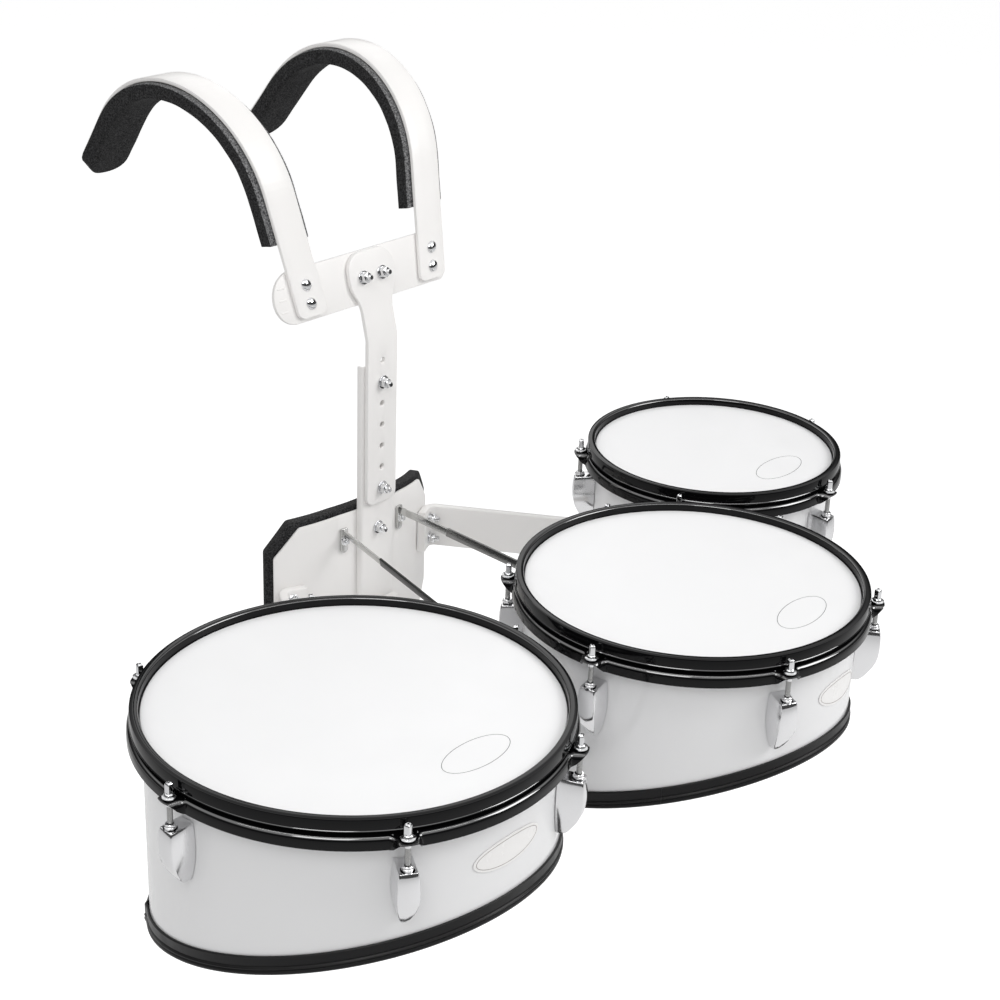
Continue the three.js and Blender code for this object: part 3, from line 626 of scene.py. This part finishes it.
def thread_material():
    """The cut thread below the ear, as fine rings up the rod."""
    material = finish_material("cut_thread", (0.36, 0.36, 0.355), (0.24, 0.34), metal=1.0, mottle=150.0)
    tree = material.node_tree
    rings = add(tree, "TexWave", {
        "Vector": add(tree, "TexCoord").outputs["Object"], "Scale": 300.0, "Distortion": 0.0,
    }, bands_direction="Z", wave_profile="SIN")
    own_relief(material, rings.outputs["Fac"], 0.3, 0.0003)
    return material


cut_thread = thread_material()


def block(size, centre=(0, 0, 0)):
    """A plain box of that size about that centre."""
    bm = bmesh.new()
    bmesh.ops.create_cube(bm, size=1)
    bmesh.ops.scale(bm, vec=size, verts=bm.verts)
    return placed(bm, spot(*centre))


def tension_rod():
    """The rod about its own axis: thread, washer, collar and square head."""
    stem = spun([
        (0, -62), (2, -62), (2.4, -61.3), (2.4, -23), (2.75, -22.6), (2.75, -14.4), (0, -14.4),
    ], steps=24)
    for face in stem.faces:
        face.material_index = 1 if face.calc_center_median().z < -22.7 else 0
    collar = spun([
        (0, -13.4), (4.1, -13.4), (4.5, -12.9), (4.4, -12.1), (3.8, -11.3), (3.2, -10.9), (0, -10.9),
    ], steps=24)
    washer = spun([
        (2.9, -14.7), (5.8, -14.7), (6.2, -14.4), (6.2, -13.4), (5.8, -13.1), (2.9, -13.1),
    ], steps=28)
    key = block(KEY_SIZE, (0, 0, KEY_MIDDLE))
    softened(key, [e for e in key.edges if abs(e.verts[0].co.z - e.verts[1].co.z) > 1], 0.7)
    crown = [e for e in key.edges if min(v.co.z for v in e.verts) > KEY_MIDDLE + 3.9]
    softened(key, crown, 2.2, segments=5)
    return joined(stem, collar, washer, key)


for name, drum in DRUMS.items():
    for i, turn in enumerate(drum["lug_turns"], 1):
        key_turn = KEY_STEP * (i if name == "right" else i - 1)
        place = drum["place"] @ spot(turn=turn) @ spot(drum["radius"] + ROD_CIRCLE, turn=key_turn)
        finished(
            tension_rod(), f"{name}_key_rod_{i}", [rod_chrome, cut_thread],
            f"{name}_tension_rod_{i}", place, f"{name}_rod_{i}",
        )

# Yoke plate: a white powder-coated plate across the chest, which joins the two straps and leans back
# with the chest. Its end at the player's right is round, with three pressed ribs, and the other end
# is cut off short under the strap.

YOKE_RIGHT, YOKE_LEFT, YOKE_HALF, YOKE_THICK = -131, 108, 27, 4
LEAN = math.radians(14)
CHEST_POINT = (0, -145.49, -175)
CHEST = Matrix.Translation(CHEST_POINT) @ Matrix.Rotation(-LEAN, 4, "X")
FORWARD = Matrix.Rotation(math.pi / 2, 4, "X")

carrier_white = finish_material(
    "white_powder_coat", (0.87, 0.856, 0.842), (0.3, 0.42), dust=0.04, ripple=(700.0, 0.35),
)


def plate_from(corners, thickness, edge, holes=(), segments=8):
    """A flat plate seen from the front, its back face on the XZ plane. A corner may have a radius,
    and a hole is x, z and radius."""
    bm = bmesh.new()
    verts = [bm.verts.new((c[0], 0, c[1])) for c in corners]
    bm.faces.new(verts)
    rounded = {}
    for vert, corner in zip(verts, corners):
        if len(corner) > 2:
            rounded.setdefault(corner[2], []).append(vert)
    for radius, group in rounded.items():
        for vert in group:
            ways = [(e.other_vert(vert).co - vert.co).normalized() for e in vert.link_edges]
            offset = radius / math.tan(ways[0].angle(ways[1]) / 2)
            bmesh.ops.bevel(
                bm, geom=[vert], offset=offset, segments=segments, profile=0.5, affect="VERTICES", material=-1
            )
    bmesh.ops.remove_doubles(bm, verts=bm.verts, dist=1e-3)
    outline = list(bm.edges)
    bmesh.ops.delete(bm, geom=list(bm.faces), context="FACES_ONLY")
    for x, z, radius in holes:
        verts, edges = circle(bm, radius, matrix=FORWARD)
        bmesh.ops.translate(bm, vec=(x, 0, z), verts=verts)
        outline += edges
    bmesh.ops.triangle_fill(bm, edges=outline, use_beauty=True)
    thickened(bm, (0, -thickness, 0))
    return softened(bm, sharp_edges(bm), edge)


def slab(size, centre, edge):
    """A bar with softened edges, of that size about that centre."""
    bm = block(size, centre)
    return softened(bm, list(bm.edges), edge)


yoke = plate_from([
    (YOKE_RIGHT, -YOKE_HALF, YOKE_HALF - 0.1), (YOKE_LEFT, -YOKE_HALF, 8),
    (YOKE_LEFT, YOKE_HALF, 8), (YOKE_RIGHT, YOKE_HALF, YOKE_HALF - 0.1),
], YOKE_THICK, 0.7, segments=14)
placed(yoke, spot(0, YOKE_THICK + SEAT_GAP, 0))
ribs = [slab((9, 1.0, 1.8), (YOKE_RIGHT + 11, 0.4, height), 0.4) for height in (-12, 0, 12)]
finished(
    joined(yoke, *ribs), "chest_plate", [carrier_white], "yoke_plate", CHEST,
    body="shoulder_frame",
)

# Shoulder straps: flat bars bent over the shoulders in a half circle, flat against the yoke plate in front.
# They lean outwards and open towards the back. Each is held to the yoke by two chromed rivets.

SIDES = {"right": -1, "left": 1}
STRAP_THICK, STRAP_FROM_MIDDLE, RIVET_STEP = 4.5, 89.5, 9.75
ARCH_CENTRE = Vector((0, 0.1, -107.9))
ARCH_RADIUS = 125
ARCH_TURN = math.radians(128.8)
CHEST_WAY = Vector((0, math.sin(LEAN), math.cos(LEAN)))
ARCH_START = Vector((0, -math.cos(LEAN), math.sin(LEAN)))
OPENING, OUTWARD_LEAN = math.tan(math.radians(2.6)), math.tan(math.radians(7))
SPLAY = Matrix.Identity(4)
SPLAY[0][1], SPLAY[0][2] = OPENING, OUTWARD_LEAN
SPLAY[0][3] = STRAP_FROM_MIDDLE - CHEST_POINT[1] * OPENING - CHEST_POINT[2] * OUTWARD_LEAN


def mirrored(half):
    """The whole of an outline whose right half is given. Points on the middle line aren't doubled."""
    return half + [(-point[0], *point[1:]) for point in reversed(half) if point[0]]


def on_shoulder(bm, side):
    """Splays a piece out to one of the shoulders."""
    return outward(placed(bm, Matrix.Diagonal((SIDES[side], 1, 1, 1)) @ SPLAY))


def arched(section, before, after, turns=40, corner=0, tail_corner=0):
    """A closed section of (across, inward) points, swept up the chest, over the shoulder and down the back.
    The corners of its lower end and of its tail may be rounded."""
    bm = bmesh.new()
    half = max(x for x, _ in section)
    foot = ARCH_CENTRE + ARCH_START * ARCH_RADIUS - CHEST_WAY * before
    verts = [bm.verts.new(foot + Vector((x, 0, 0)) - ARCH_START * inward) for x, inward in section]
    ends = [bm.faces.new(verts)]

    def onward(way, turn=0.0):
        grown = bmesh.ops.extrude_face_region(bm, geom=ends)["geom"]
        verts = only(grown, bmesh.types.BMVert)
        if turn:
            bmesh.ops.rotate(bm, cent=ARCH_CENTRE, matrix=Matrix.Rotation(-turn, 3, "X"), verts=verts)
        else:
            bmesh.ops.translate(bm, vec=way, verts=verts)
        ends[:] = only(grown, bmesh.types.BMFace)

    def lengths(whole, rounded):
        near = [rounded * share for share in (0.02, 0.04, 0.08, 0.12, 0.17, 0.25, 0.32)] if rounded else []
        pieces = max(2, round((whole - rounded) / 6))
        return near + [(whole - rounded) / pieces] * pieces

    for length in lengths(before, corner):
        onward(CHEST_WAY * length)
    for _ in range(turns):
        onward(None, ARCH_TURN / turns)
    over = Matrix.Rotation(-ARCH_TURN, 3, "X")
    down = over @ CHEST_WAY
    for length in reversed(lengths(after, tail_corner)):
        onward(down * length)
    tail = ARCH_CENTRE + over @ ARCH_START * ARCH_RADIUS + down * after
    for vert in bm.verts:
        in_front = vert.co.y < 0
        rounded = corner if in_front else tail_corner
        inside = (vert.co - foot).dot(CHEST_WAY) if in_front else (tail - vert.co).dot(down)
        if inside < rounded:
            kept = math.sqrt(max(rounded ** 2 - (rounded - inside) ** 2, 0))
            vert.co.x *= 1 - (rounded - kept) / half
    return outward(bm)


def chrome_rivet(place):
    """A domed rivet head that stands on a face and points forward."""
    bm = spun([
        (0, -0.3), (6.4, -0.3), (6.4, 0.2), (6, 1.2), (5, 2.2), (3.6, 2.9), (1.8, 3.3), (0, 3.4),
    ], steps=28)
    return placed(bm, place @ FORWARD)


for side in SIDES:
    section = mirrored([
        (18.2, 0), (19, -0.8), (19, -3.2), (18.6, -4.1), (17.7, -STRAP_THICK), (6, -STRAP_THICK),
    ])
    strap = on_shoulder(arched(section, before=123.1, after=66, corner=7), side)
    finished(
        strap, f"{side}_strap_bar", [carrier_white], f"{side}_shoulder_strap",
        body="shoulder_frame",
    )
    for i, step in enumerate((-1, 1), 1):
        rivet = on_shoulder(chrome_rivet(CHEST @ spot(0, -STRAP_THICK, step * RIVET_STEP)), side)
        finished(rivet, f"{side}_strap_rivet_{i}", [rod_chrome], body="shoulder_frame")

# Shoulder pads: black closed-cell foam, cut from a slab and glued under the straps. They are wider than
# the straps and have a cut skin and soft edges. The faces that look out from the shoulder, towards the strap,
# are painted lighter grey: painted light where the lamps reach them.

FOAM_WAVE, FOAM_UNEVEN = 22, 0.5


def foam_material(name, colour, dust):
    """Closed-cell foam: a dull skin with pores of about a millimetre."""
    material = finish_material(
        name, colour, (0.82, 0.95), dust=dust, mottle=80.0, **{"Specular IOR Level": 0.15}
    )
    tree = material.node_tree
    dark, light = ([value * share for value in colour] for share in (0.5, 3.0))
    shades = two_shades(tree, grains(tree, 620.0, 2.0), (0.38, dark), (0.68, light))
    tree.links.new(shades, tree.nodes["dust"].inputs["Colour"])
    pores = add(tree, "TexVoronoi", {"Vector": add(tree, "TexCoord").outputs["Object"], "Scale": 700.0})
    both = add(tree, "Math", {0: pores.outputs["Distance"], 1: grains(tree, 250.0, 5.0)}, operation="ADD")
    own_relief(material, both.outputs[0], 0.6, 0.0008)
    return material


black_foam = foam_material("black_foam", (0.017, 0.017, 0.0175), 0.05)
foam_painted_light = foam_material("foam_painted_light", (0.09, 0.09, 0.092), 0.1)

for side in SIDES:
    section = mirrored([
        (0, 0.3), (10, 0.3), (19.5, 0.4), (24.7, 0.7), (25.5, 1.6), (25.4, 5), (25.3, 9), (25.4, 13),
        (25.2, 15.4), (24.2, 16.6), (17, 16.9), (9, 17), (0, 17),
    ])
    pad = arched(section, before=46, after=78, turns=60, tail_corner=19)
    pad.normal_update()
    # Faces that look out from the shoulder, the top face beside the strap, take the lighter foam: painted
    # light.
    for face in pad.faces:
        away = (face.calc_center_median() - ARCH_CENTRE) * Vector((0, 1, 1))
        face.material_index = 1 if away.normalized().dot(face.normal) > 0.6 else 0
    for vert in pad.verts:
        vert.co += vert.normal * (noise.noise(vert.co / FOAM_WAVE) - 0.4) * FOAM_UNEVEN
    piece = finished(
        on_shoulder(pad, side), f"{side}_foam_pad", [black_foam, foam_painted_light],
        f"{side}_shoulder_pad", body="shoulder_frame", crease=60,
    )

# Height bar: a white flat bar bolted to the yoke, wide at the top, with a row of holes for the height.
# Its upper part leans with the yoke, and its lower part hangs upright in front of the channel.

BAR_FRONT, BAR_BACK, BAR_FOOT, BEND = -166.1, -161.1, -423, -237.6
BAR_THICK = BAR_BACK - BAR_FRONT
HOLE_STEP, HOLE_RADIUS = 23.9, 3.1
HOLES = [BAR_FOOT + 160.5 - i * HOLE_STEP for i in range(7)]


def clamp_bolt(place):
    """A washer, a hexagon nut and the end of its bolt, standing on a face and pointing forward."""
    washer = spun([(3, -0.2), (6.9, -0.2), (7.2, 0.1), (7.2, 1.2), (6.9, 1.5), (3, 1.5)], steps=28)
    nut = bmesh.new()
    bmesh.ops.create_cone(nut, cap_ends=True, segments=6, radius1=6, radius2=5.8, depth=6)
    placed(nut, spot(0, 0, 4.5))
    softened(nut, list(nut.edges), 0.9)
    end = spun([(0, 7), (3, 7), (3, 11.6), (2.2, 12.4), (0, 12.4)], steps=16)
    return placed(joined(washer, nut, end), place @ FORWARD)


bar = plate_from(
    mirrored([(21.5, BAR_FOOT, 9), (21.5, -202, 30), (32, -183, 30), (32, -149, 19)]),
    BAR_THICK, 0.9, [(0, height, HOLE_RADIUS) for height in HOLES],
)
placed(bar, spot(0, BAR_BACK, 0))
cut(bar, (0, 0, BEND), (0, 0, 1))
bend = Matrix.Identity(4)
bend[1][2] = math.tan(LEAN)
bend[1][3] = -BEND * math.tan(LEAN)
placed(bar, bend, [v for v in bar.verts if v.co.z > BEND + 1e-3])
finished(bar, "height_adjusting_bar", [carrier_white], "height_bar", body="shoulder_frame")
bar_bolts = {f"yoke_bolt_{i}": CHEST @ spot(x, -BAR_THICK, 0) for i, x in enumerate((-13.4, 13.4), 1)}
bar_bolts |= {f"height_bolt_{i}": spot(0, BAR_FRONT, hole) for i, hole in enumerate((HOLES[1], HOLES[6]), 1)}
for name, place in bar_bolts.items():
    finished(clamp_bolt(place), name, [rod_chrome], body="shoulder_frame")

# Height channel: a white powder-coated channel, pressed from sheet, that stands behind the bar and
# slides on it. The belly plate hangs on it by one bolt.

CHANNEL_FRONT, CHANNEL_DEPTH, CHANNEL_HALF = -160.8, 8, 24.5
CHANNEL_FOOT, CHANNEL_LENGTH, PLATE_BOLT = HOOP_TOP - 234, 333.5, HOOP_TOP - 88

channel = bmesh.new()
section = mirrored([
    (20.8, 0), (22.4, 0.4), (23.6, 1.2), (24.3, 2.4), (CHANNEL_HALF, 4), (CHANNEL_HALF, CHANNEL_DEPTH),
    (21.5, CHANNEL_DEPTH), (21.5, 3),
])
channel.faces.new([channel.verts.new((x, CHANNEL_FRONT + y, CHANNEL_FOOT)) for x, y in section])
thickened(channel, (0, 0, CHANNEL_LENGTH))
softened(channel, sharp_edges(channel), 0.7)
finished(channel, "sliding_channel", [carrier_white], "height_channel")
bolt = clamp_bolt(spot(0, CHANNEL_FRONT, PLATE_BOLT))
finished(bolt, "plate_bolt", [rod_chrome])

# Belly plate: a white sheet bent round the player's middle, with its corners cut off straight.
# A black foam pad is glued behind it and shows as a dark band round its edge.

PLATE_RADIUS = 228
PLATE_AXIS = CHANNEL_FRONT + CHANNEL_DEPTH + SEAT_GAP + math.sqrt(PLATE_RADIUS ** 2 - CHANNEL_HALF ** 2)
PLATE_HALF, PLATE_CORNER, PLATE_CUTS = 122, 94, 15
PLATE_TOP, PLATE_FOOT = HOOP_TOP - 63, HOOP_TOP - 236


def bent_sheet(front, back, edge, rise=0, reach=0, corner_reach=0):
    """A sheet cut flat, and then bent about an upright axis behind it."""
    half, corner = PLATE_HALF + reach, PLATE_CORNER + corner_reach
    top, bottom = PLATE_TOP + rise, PLATE_FOOT - rise
    bm = plate_from(mirrored([
        (corner, bottom, 6), (half, bottom + 32, 6), (half, top - 38, 6), (corner, top - 6, 6),
        (corner / 2, top - 1.5), (0, top),
    ]), back - front, edge, segments=4)
    for i in range(1 - PLATE_CUTS, PLATE_CUTS):
        cut(bm, (i * half / PLATE_CUTS, 0, 0))
    for vert in bm.verts:
        angle = vert.co.x / PLATE_RADIUS
        radius = PLATE_RADIUS - back - vert.co.y
        vert.co.x, vert.co.y = radius * math.sin(angle), PLATE_AXIS - radius * math.cos(angle)
    return outward(bm)


finished(bent_sheet(0, 3, 0.7), "curved_belly_plate", [carrier_white], "belly_plate")
cushion = bent_sheet(3.3, 15.3, 2.2, rise=5.5, reach=9, corner_reach=11)
pad = finished(cushion, "belly_foam", [black_foam], "belly_pad", crease=60)

# Drum arms: thick white bars bent from the belly plate's wings to the outer drums, two bolts each,
# and one from the channel to the middle drum. A curved foot on each is screwed through the shell.

ARM_THICK, ARM_TALL, ARM_BEND, ARM_SEAT = 9, 48, 11, 104
CENTRE_ARM_TALL, FLANGE_WIDE = 40, 49
FOOT_WIDE, FOOT_THICK = 34, 4


def on_plate(along):
    """The turn and the place, seen from above, of what is seated on the belly plate's front."""
    turn, reach = along / PLATE_RADIUS, PLATE_RADIUS + SEAT_GAP
    return turn, Vector((reach * math.sin(turn), PLATE_AXIS - reach * math.cos(turn)))


def shell_foot(drum, turn, width, height, thickness, level=0):
    """A foot that follows the shell."""
    inner, half = drum["radius"] + SEAT_GAP, height / 2
    section = [(0, -half), (thickness, -half), (thickness, half), (0, half)]
    angle = width / inner
    bm = spun(section, steps=10, turn=angle, start=turn - angle / 2, around=inner)
    return placed(bm, spot(*drum["centre"], level))


def bent_bar(start, corner, end, bend, thickness, height):
    """A bar on edge that runs past three points seen from above, bent to a radius at the second."""
    first, second = (corner - start).normalized(), (end - corner).normalized()
    turn = wrapped(math.atan2(second.y, second.x) - math.atan2(first.y, first.x))
    inward = Vector((-first.y, first.x)) * math.copysign(bend, turn)
    leave = corner - first * bend * math.tan(abs(turn) / 2)
    stops = [(start, 0), (leave, 0)]
    for i in range(1, 9):
        stops.append((leave + inward + Matrix.Rotation(turn * i / 8, 2) @ -inward, turn * i / 8))
    stops.append((end, turn))
    half, tall, soft = thickness / 2, height / 2, 1.3
    quarter = [
        (half - soft * (1 - math.sin(a)), tall - soft * (1 - math.cos(a)))
        for a in (0, math.pi / 6, math.pi / 3, math.pi / 2)
    ]
    section = mirrored(quarter + [(x, -z) for x, z in reversed(quarter)])
    sections = []
    for point, turned_by in stops:
        side = Matrix.Rotation(turned_by, 2) @ Vector((-first.y, first.x))
        sections.append([(*(point + side * x), z) for x, z in section])
    return lofted(sections)


def side_arm(drum, way):
    """The arm and its two bolts, about the height of its middle."""
    angle, seat = on_plate(way * ARM_SEAT)
    turn = Matrix.Rotation(angle, 2)
    inner_end = seat + turn @ Vector((-way * 15, -ARM_THICK / 2))
    corner = seat + turn @ Vector((way * 10.5, -ARM_THICK / 2))
    toward = Vector(drum["centre"]) - corner
    end = corner + toward.normalized() * (toward.length - drum["radius"] - SEAT_GAP - FOOT_THICK / 2)
    foot = shell_foot(drum, math.atan2(-toward.y, -toward.x), FOOT_WIDE, ARM_TALL, FOOT_THICK)
    arm = joined(bent_bar(inner_end, corner, end, ARM_BEND, ARM_THICK, ARM_TALL), foot)
    seated = spot(*seat, turn=angle)
    return arm, joined(*[clamp_bolt(seated @ spot(0, -ARM_THICK, step)) for step in (-12, 12)])


for name, below in (("right", 135), ("left", 107.5)):
    arm, bolts = side_arm(DRUMS[name], SIDES[name])
    lift = spot(0, 0, HOOP_TOP - below - ARM_TALL / 2)
    finished(arm, f"{name}_drum_arm", [carrier_white], f"{name}_arm", lift)
    finished(bolts, f"{name}_arm_bolts", [rod_chrome], place=lift)

middle = DRUMS["middle"]
flange = CHANNEL_FRONT - SEAT_GAP - ARM_THICK / 2
back_of_drum = middle["centre"][1] + middle["radius"] + SEAT_GAP + FOOT_THICK / 2
run = slab(
    (ARM_THICK, flange - back_of_drum, CENTRE_ARM_TALL), (0, (flange + back_of_drum) / 2, 0), 1.2
)
arm = joined(
    run, slab((FLANGE_WIDE, ARM_THICK, CENTRE_ARM_TALL), (0, flange, 0), 1.2),
    shell_foot(middle, math.pi / 2, FOOT_WIDE, CENTRE_ARM_TALL, FOOT_THICK),
)
lift = spot(0, 0, HOOP_TOP - 174 - CENTRE_ARM_TALL / 2)
finished(arm, "centre_drum_arm", [carrier_white], "centre_arm", lift)
bolts = joined(*[clamp_bolt(spot(x, flange - ARM_THICK / 2, 0)) for x in (-12.25, 12.25)])
finished(bolts, "centre_arm_bolts", [rod_chrome], place=lift)

# Stay rods: flat chromed strips from the belly plate forward and down to the middle drum, rolled a little
# out of the upright. Each is in two lengths. The outer length carries a painted reflection: painted grey on
# the left and painted nearly black on the right, over one and the same chromed strip. The end of each is bent
# down to a tab with a nut.

STAY_FINISH = dict(metal=1.0, mottle=200.0, ripple=(200.0, 0.02))
STAY_ROLL, STAY_OUTWARD, STAY_DOWN = math.radians(15.5), math.radians(8.4), math.radians(8.1)
STAY_SEAT, STAY_BELOW = 42, 84.5
TAB_WIDE, TAB_THICK = 9, 3

stay_chrome = finish_material("flat_chromed_strip", (0.56, 0.56, 0.55), (0.2, 0.24), **STAY_FINISH)
# The outer lengths' finishes are painted reflections on one chromed strip: grey where the left one mirrors
# the lit floor, nearly black where the right one mirrors the dark belly foam.
stay_painted_grey_reflection = finish_material("strip_painted_grey_reflection", (0.3, 0.3, 0.295), (0.2, 0.24), **STAY_FINISH)
stay_painted_dark_reflection = finish_material("strip_painted_dark_reflection", (0.05, 0.05, 0.05), (0.2, 0.24), **STAY_FINISH)


def strip_between(start, end, thickness, height):
    """A flat strip on edge from one point to another."""
    strip = block((thickness, 1, height))
    roll = Matrix.Rotation(STAY_ROLL, 3, "Y")
    for vert in strip.verts:
        vert.co = roll @ Vector((vert.co.x, 0, vert.co.z)) + (end if vert.co.y < 0 else start)
    return softened(strip, list(strip.edges), 0.6)


def stay_rod(way):
    """The strip in two lengths that slide in one another, its bent ends, and the nut of its first tab."""
    drum = DRUMS["middle"]
    angle, seat = on_plate(STAY_SEAT)
    start = Vector((seat.x, seat.y - TAB_THICK / 2, 0))
    heading = Vector((math.tan(STAY_OUTWARD), -1, -math.tan(STAY_DOWN)))
    flat = Vector((start.x, start.y - drum["centre"][1]))
    foot_circle = drum["radius"] + SEAT_GAP + TAB_THICK / 2
    slope = heading.x ** 2 + heading.y ** 2
    turn = flat.x * heading.x + flat.y * heading.y
    run = (-turn - math.sqrt(turn ** 2 - slope * (flat.length_squared - foot_circle ** 2))) / slope
    end = start + heading * run
    outer_length = strip_between(start + heading * run * 0.22, end, 3, 9.2)
    # The outer length takes the second finish, a painted reflection.
    for face in outer_length.faces:
        face.material_index = 1
    tab = plate_from(mirrored([(TAB_WIDE / 2, -23, 4.4), (TAB_WIDE / 2, 5, 1.5)]), TAB_THICK, 0.6, segments=6)
    place = spot(*seat, turn=angle)
    foot_turn = math.atan2(end.y - drum["centre"][1], end.x)
    strip = joined(
        strip_between(start, start + heading * run * 0.25, 2.4, 7.6), outer_length, placed(tab, place),
        shell_foot(drum, foot_turn, TAB_WIDE, 28, TAB_THICK, end.z - 9),
    )
    nut = spun([
        (0, -0.2), (4.4, -0.2), (4.6, 0.2), (4.6, 0.9), (3.9, 1.2), (3.9, 3.6), (3.3, 4.2), (2, 4.4),
        (2, 6), (0, 6),
    ], steps=24)
    placed(nut, place @ spot(0, -TAB_THICK, -9) @ FORWARD)
    if way < 0:
        for mesh in (strip, nut):
            outward(placed(mesh, Matrix.Diagonal((-1, 1, 1, 1))))
    return strip, nut


# Painted reflection on each outer length: nearly black on the right, grey on the left.
for name, outer_painted_reflection in (("right", stay_painted_dark_reflection), ("left", stay_painted_grey_reflection)):
    strip, nut = stay_rod(SIDES[name])
    lift = spot(0, 0, HOOP_TOP - STAY_BELOW)
    finishes = [stay_chrome, outer_painted_reflection]
    finished(strip, f"{name}_stay_strip", finishes, f"{name}_stay_rod", lift)
    finished(nut, f"{name}_stay_nut", [rod_chrome], place=lift)

# The room: a pale matt floor at the height of a player's feet, four soft lamps, and a world that is
# white to the camera. The camera stands where the photograph's stood.

FLOOR_LEVEL, FLOOR_HALF = -1.42, 14
LAMP_TARGET = (0, -0.4, -0.4)
VIEW_TURN, VIEW_DOWN, VIEW_ROLL = math.radians(-49.5), math.radians(24.439), math.radians(2.017)
VIEW_PLACE, VIEW_LENS, SENSOR = (-1.4513, -1.5711, 0.4999), 74.98, 36

floor_mesh = bmesh.new()
bmesh.ops.create_grid(floor_mesh, x_segments=1, y_segments=1, size=FLOOR_HALF)
placed(floor_mesh, spot(0, 0, FLOOR_LEVEL))
mesh = bpy.data.meshes.new("floor")
floor_mesh.to_mesh(mesh)
floor_mesh.free()
floor = bpy.data.objects.new("floor", mesh)
bpy.context.scene.collection.objects.link(floor)


def floor_material():
    """A pale matt floor that glows to the camera and a little in reflections, and keeps the shadow."""
    material = bpy.data.materials.new("pale_floor")
    material.use_nodes = True
    tree = material.node_tree
    shader = tree.nodes["Principled BSDF"]
    shader.inputs["Base Color"].default_value = (0.8, 0.8, 0.8, 1)
    shader.inputs["Roughness"].default_value = 0.9
    ray = add(tree, "LightPath").outputs
    glow = add(tree, "Math", {
        0: ray["Is Camera Ray"], 1: 0.5, 2: times(tree, ray["Is Glossy Ray"], 0.12),
    }, operation="MULTIPLY_ADD")
    shader.inputs["Emission Color"].default_value = (1, 1, 1, 1)
    tree.links.new(glow.outputs[0], shader.inputs["Emission Strength"])
    return material


mesh.materials.append(floor_material())


def studio_world():
    """White to the camera. In reflections it is white overhead, with a dark wall low round the room."""
    world = bpy.data.worlds.new("white_studio")
    world.use_nodes = True
    tree = world.node_tree
    backdrop = tree.nodes["Background"]
    way = add(tree, "SeparateXYZ", {"Vector": add(tree, "TexCoord").outputs["Generated"]})
    wall = add(tree, "MapRange", {
        "Value": way.outputs["Z"], "From Min": 0.34, "From Max": 0.6, "To Min": 0.06, "To Max": 1.0,
    }, interpolation_type="SMOOTHSTEP")
    ray = add(tree, "LightPath").outputs
    lit = add(tree, "MapRange", {
        "Value": ray["Is Glossy Ray"], "To Min": 0.6, "To Max": wall.outputs["Result"],
    })
    seen = add(tree, "MapRange", {
        "Value": ray["Is Camera Ray"], "To Min": lit.outputs["Result"], "To Max": 1.0,
    })
    tree.links.new(seen.outputs["Result"], backdrop.inputs["Strength"])
    backdrop.inputs["Color"].default_value = (1, 1, 1, 1)
    return world


bpy.context.scene.world = studio_world()


def soft_box(name, place, target, size, power, length=None):
    """A soft lamp that looks at a point, square or drawn out level to a length."""
    light = bpy.data.lights.new(name, "AREA")
    light.shape, light.size, light.energy = "RECTANGLE", length or size, power
    light.size_y = size
    lamp = bpy.data.objects.new(name, light)
    lamp.location = place
    lamp.rotation_euler = (Vector(target) - Vector(place)).to_track_quat("-Z", "Y").to_euler()
    bpy.context.scene.collection.objects.link(lamp)
    return lamp


soft_box("key_light", (-2.4, -1.6, 2.2), LAMP_TARGET, 1.4, 24)
soft_box("fill_light", (1.5, -2.7, 1.5), LAMP_TARGET, 1.6, 47)
soft_box("back_light", (1.7, 1.5, 1.05), (-0.1, -0.5, -0.4), 1.4, 8)
strip = soft_box("strip_light", (-0.75, -1.0, 1.8), (-0.75, -1.0001, -0.4), 0.1, 7, length=3.4)
strip.rotation_euler = (0, 0, VIEW_TURN)

bpy.context.scene.view_settings.view_transform = "Standard"

camera = bpy.data.objects.new("camera", bpy.data.cameras.new("camera"))
camera.data.sensor_width = SENSOR
camera.data.lens = VIEW_LENS
camera.data.clip_end = 60
tilt = Matrix.Rotation(math.pi / 2 - VIEW_DOWN, 4, "X")
camera.matrix_world = spot(*VIEW_PLACE, turn=VIEW_TURN) @ tilt @ spot(turn=VIEW_ROLL)
bpy.context.scene.collection.objects.link(camera)
bpy.context.scene.camera = camera
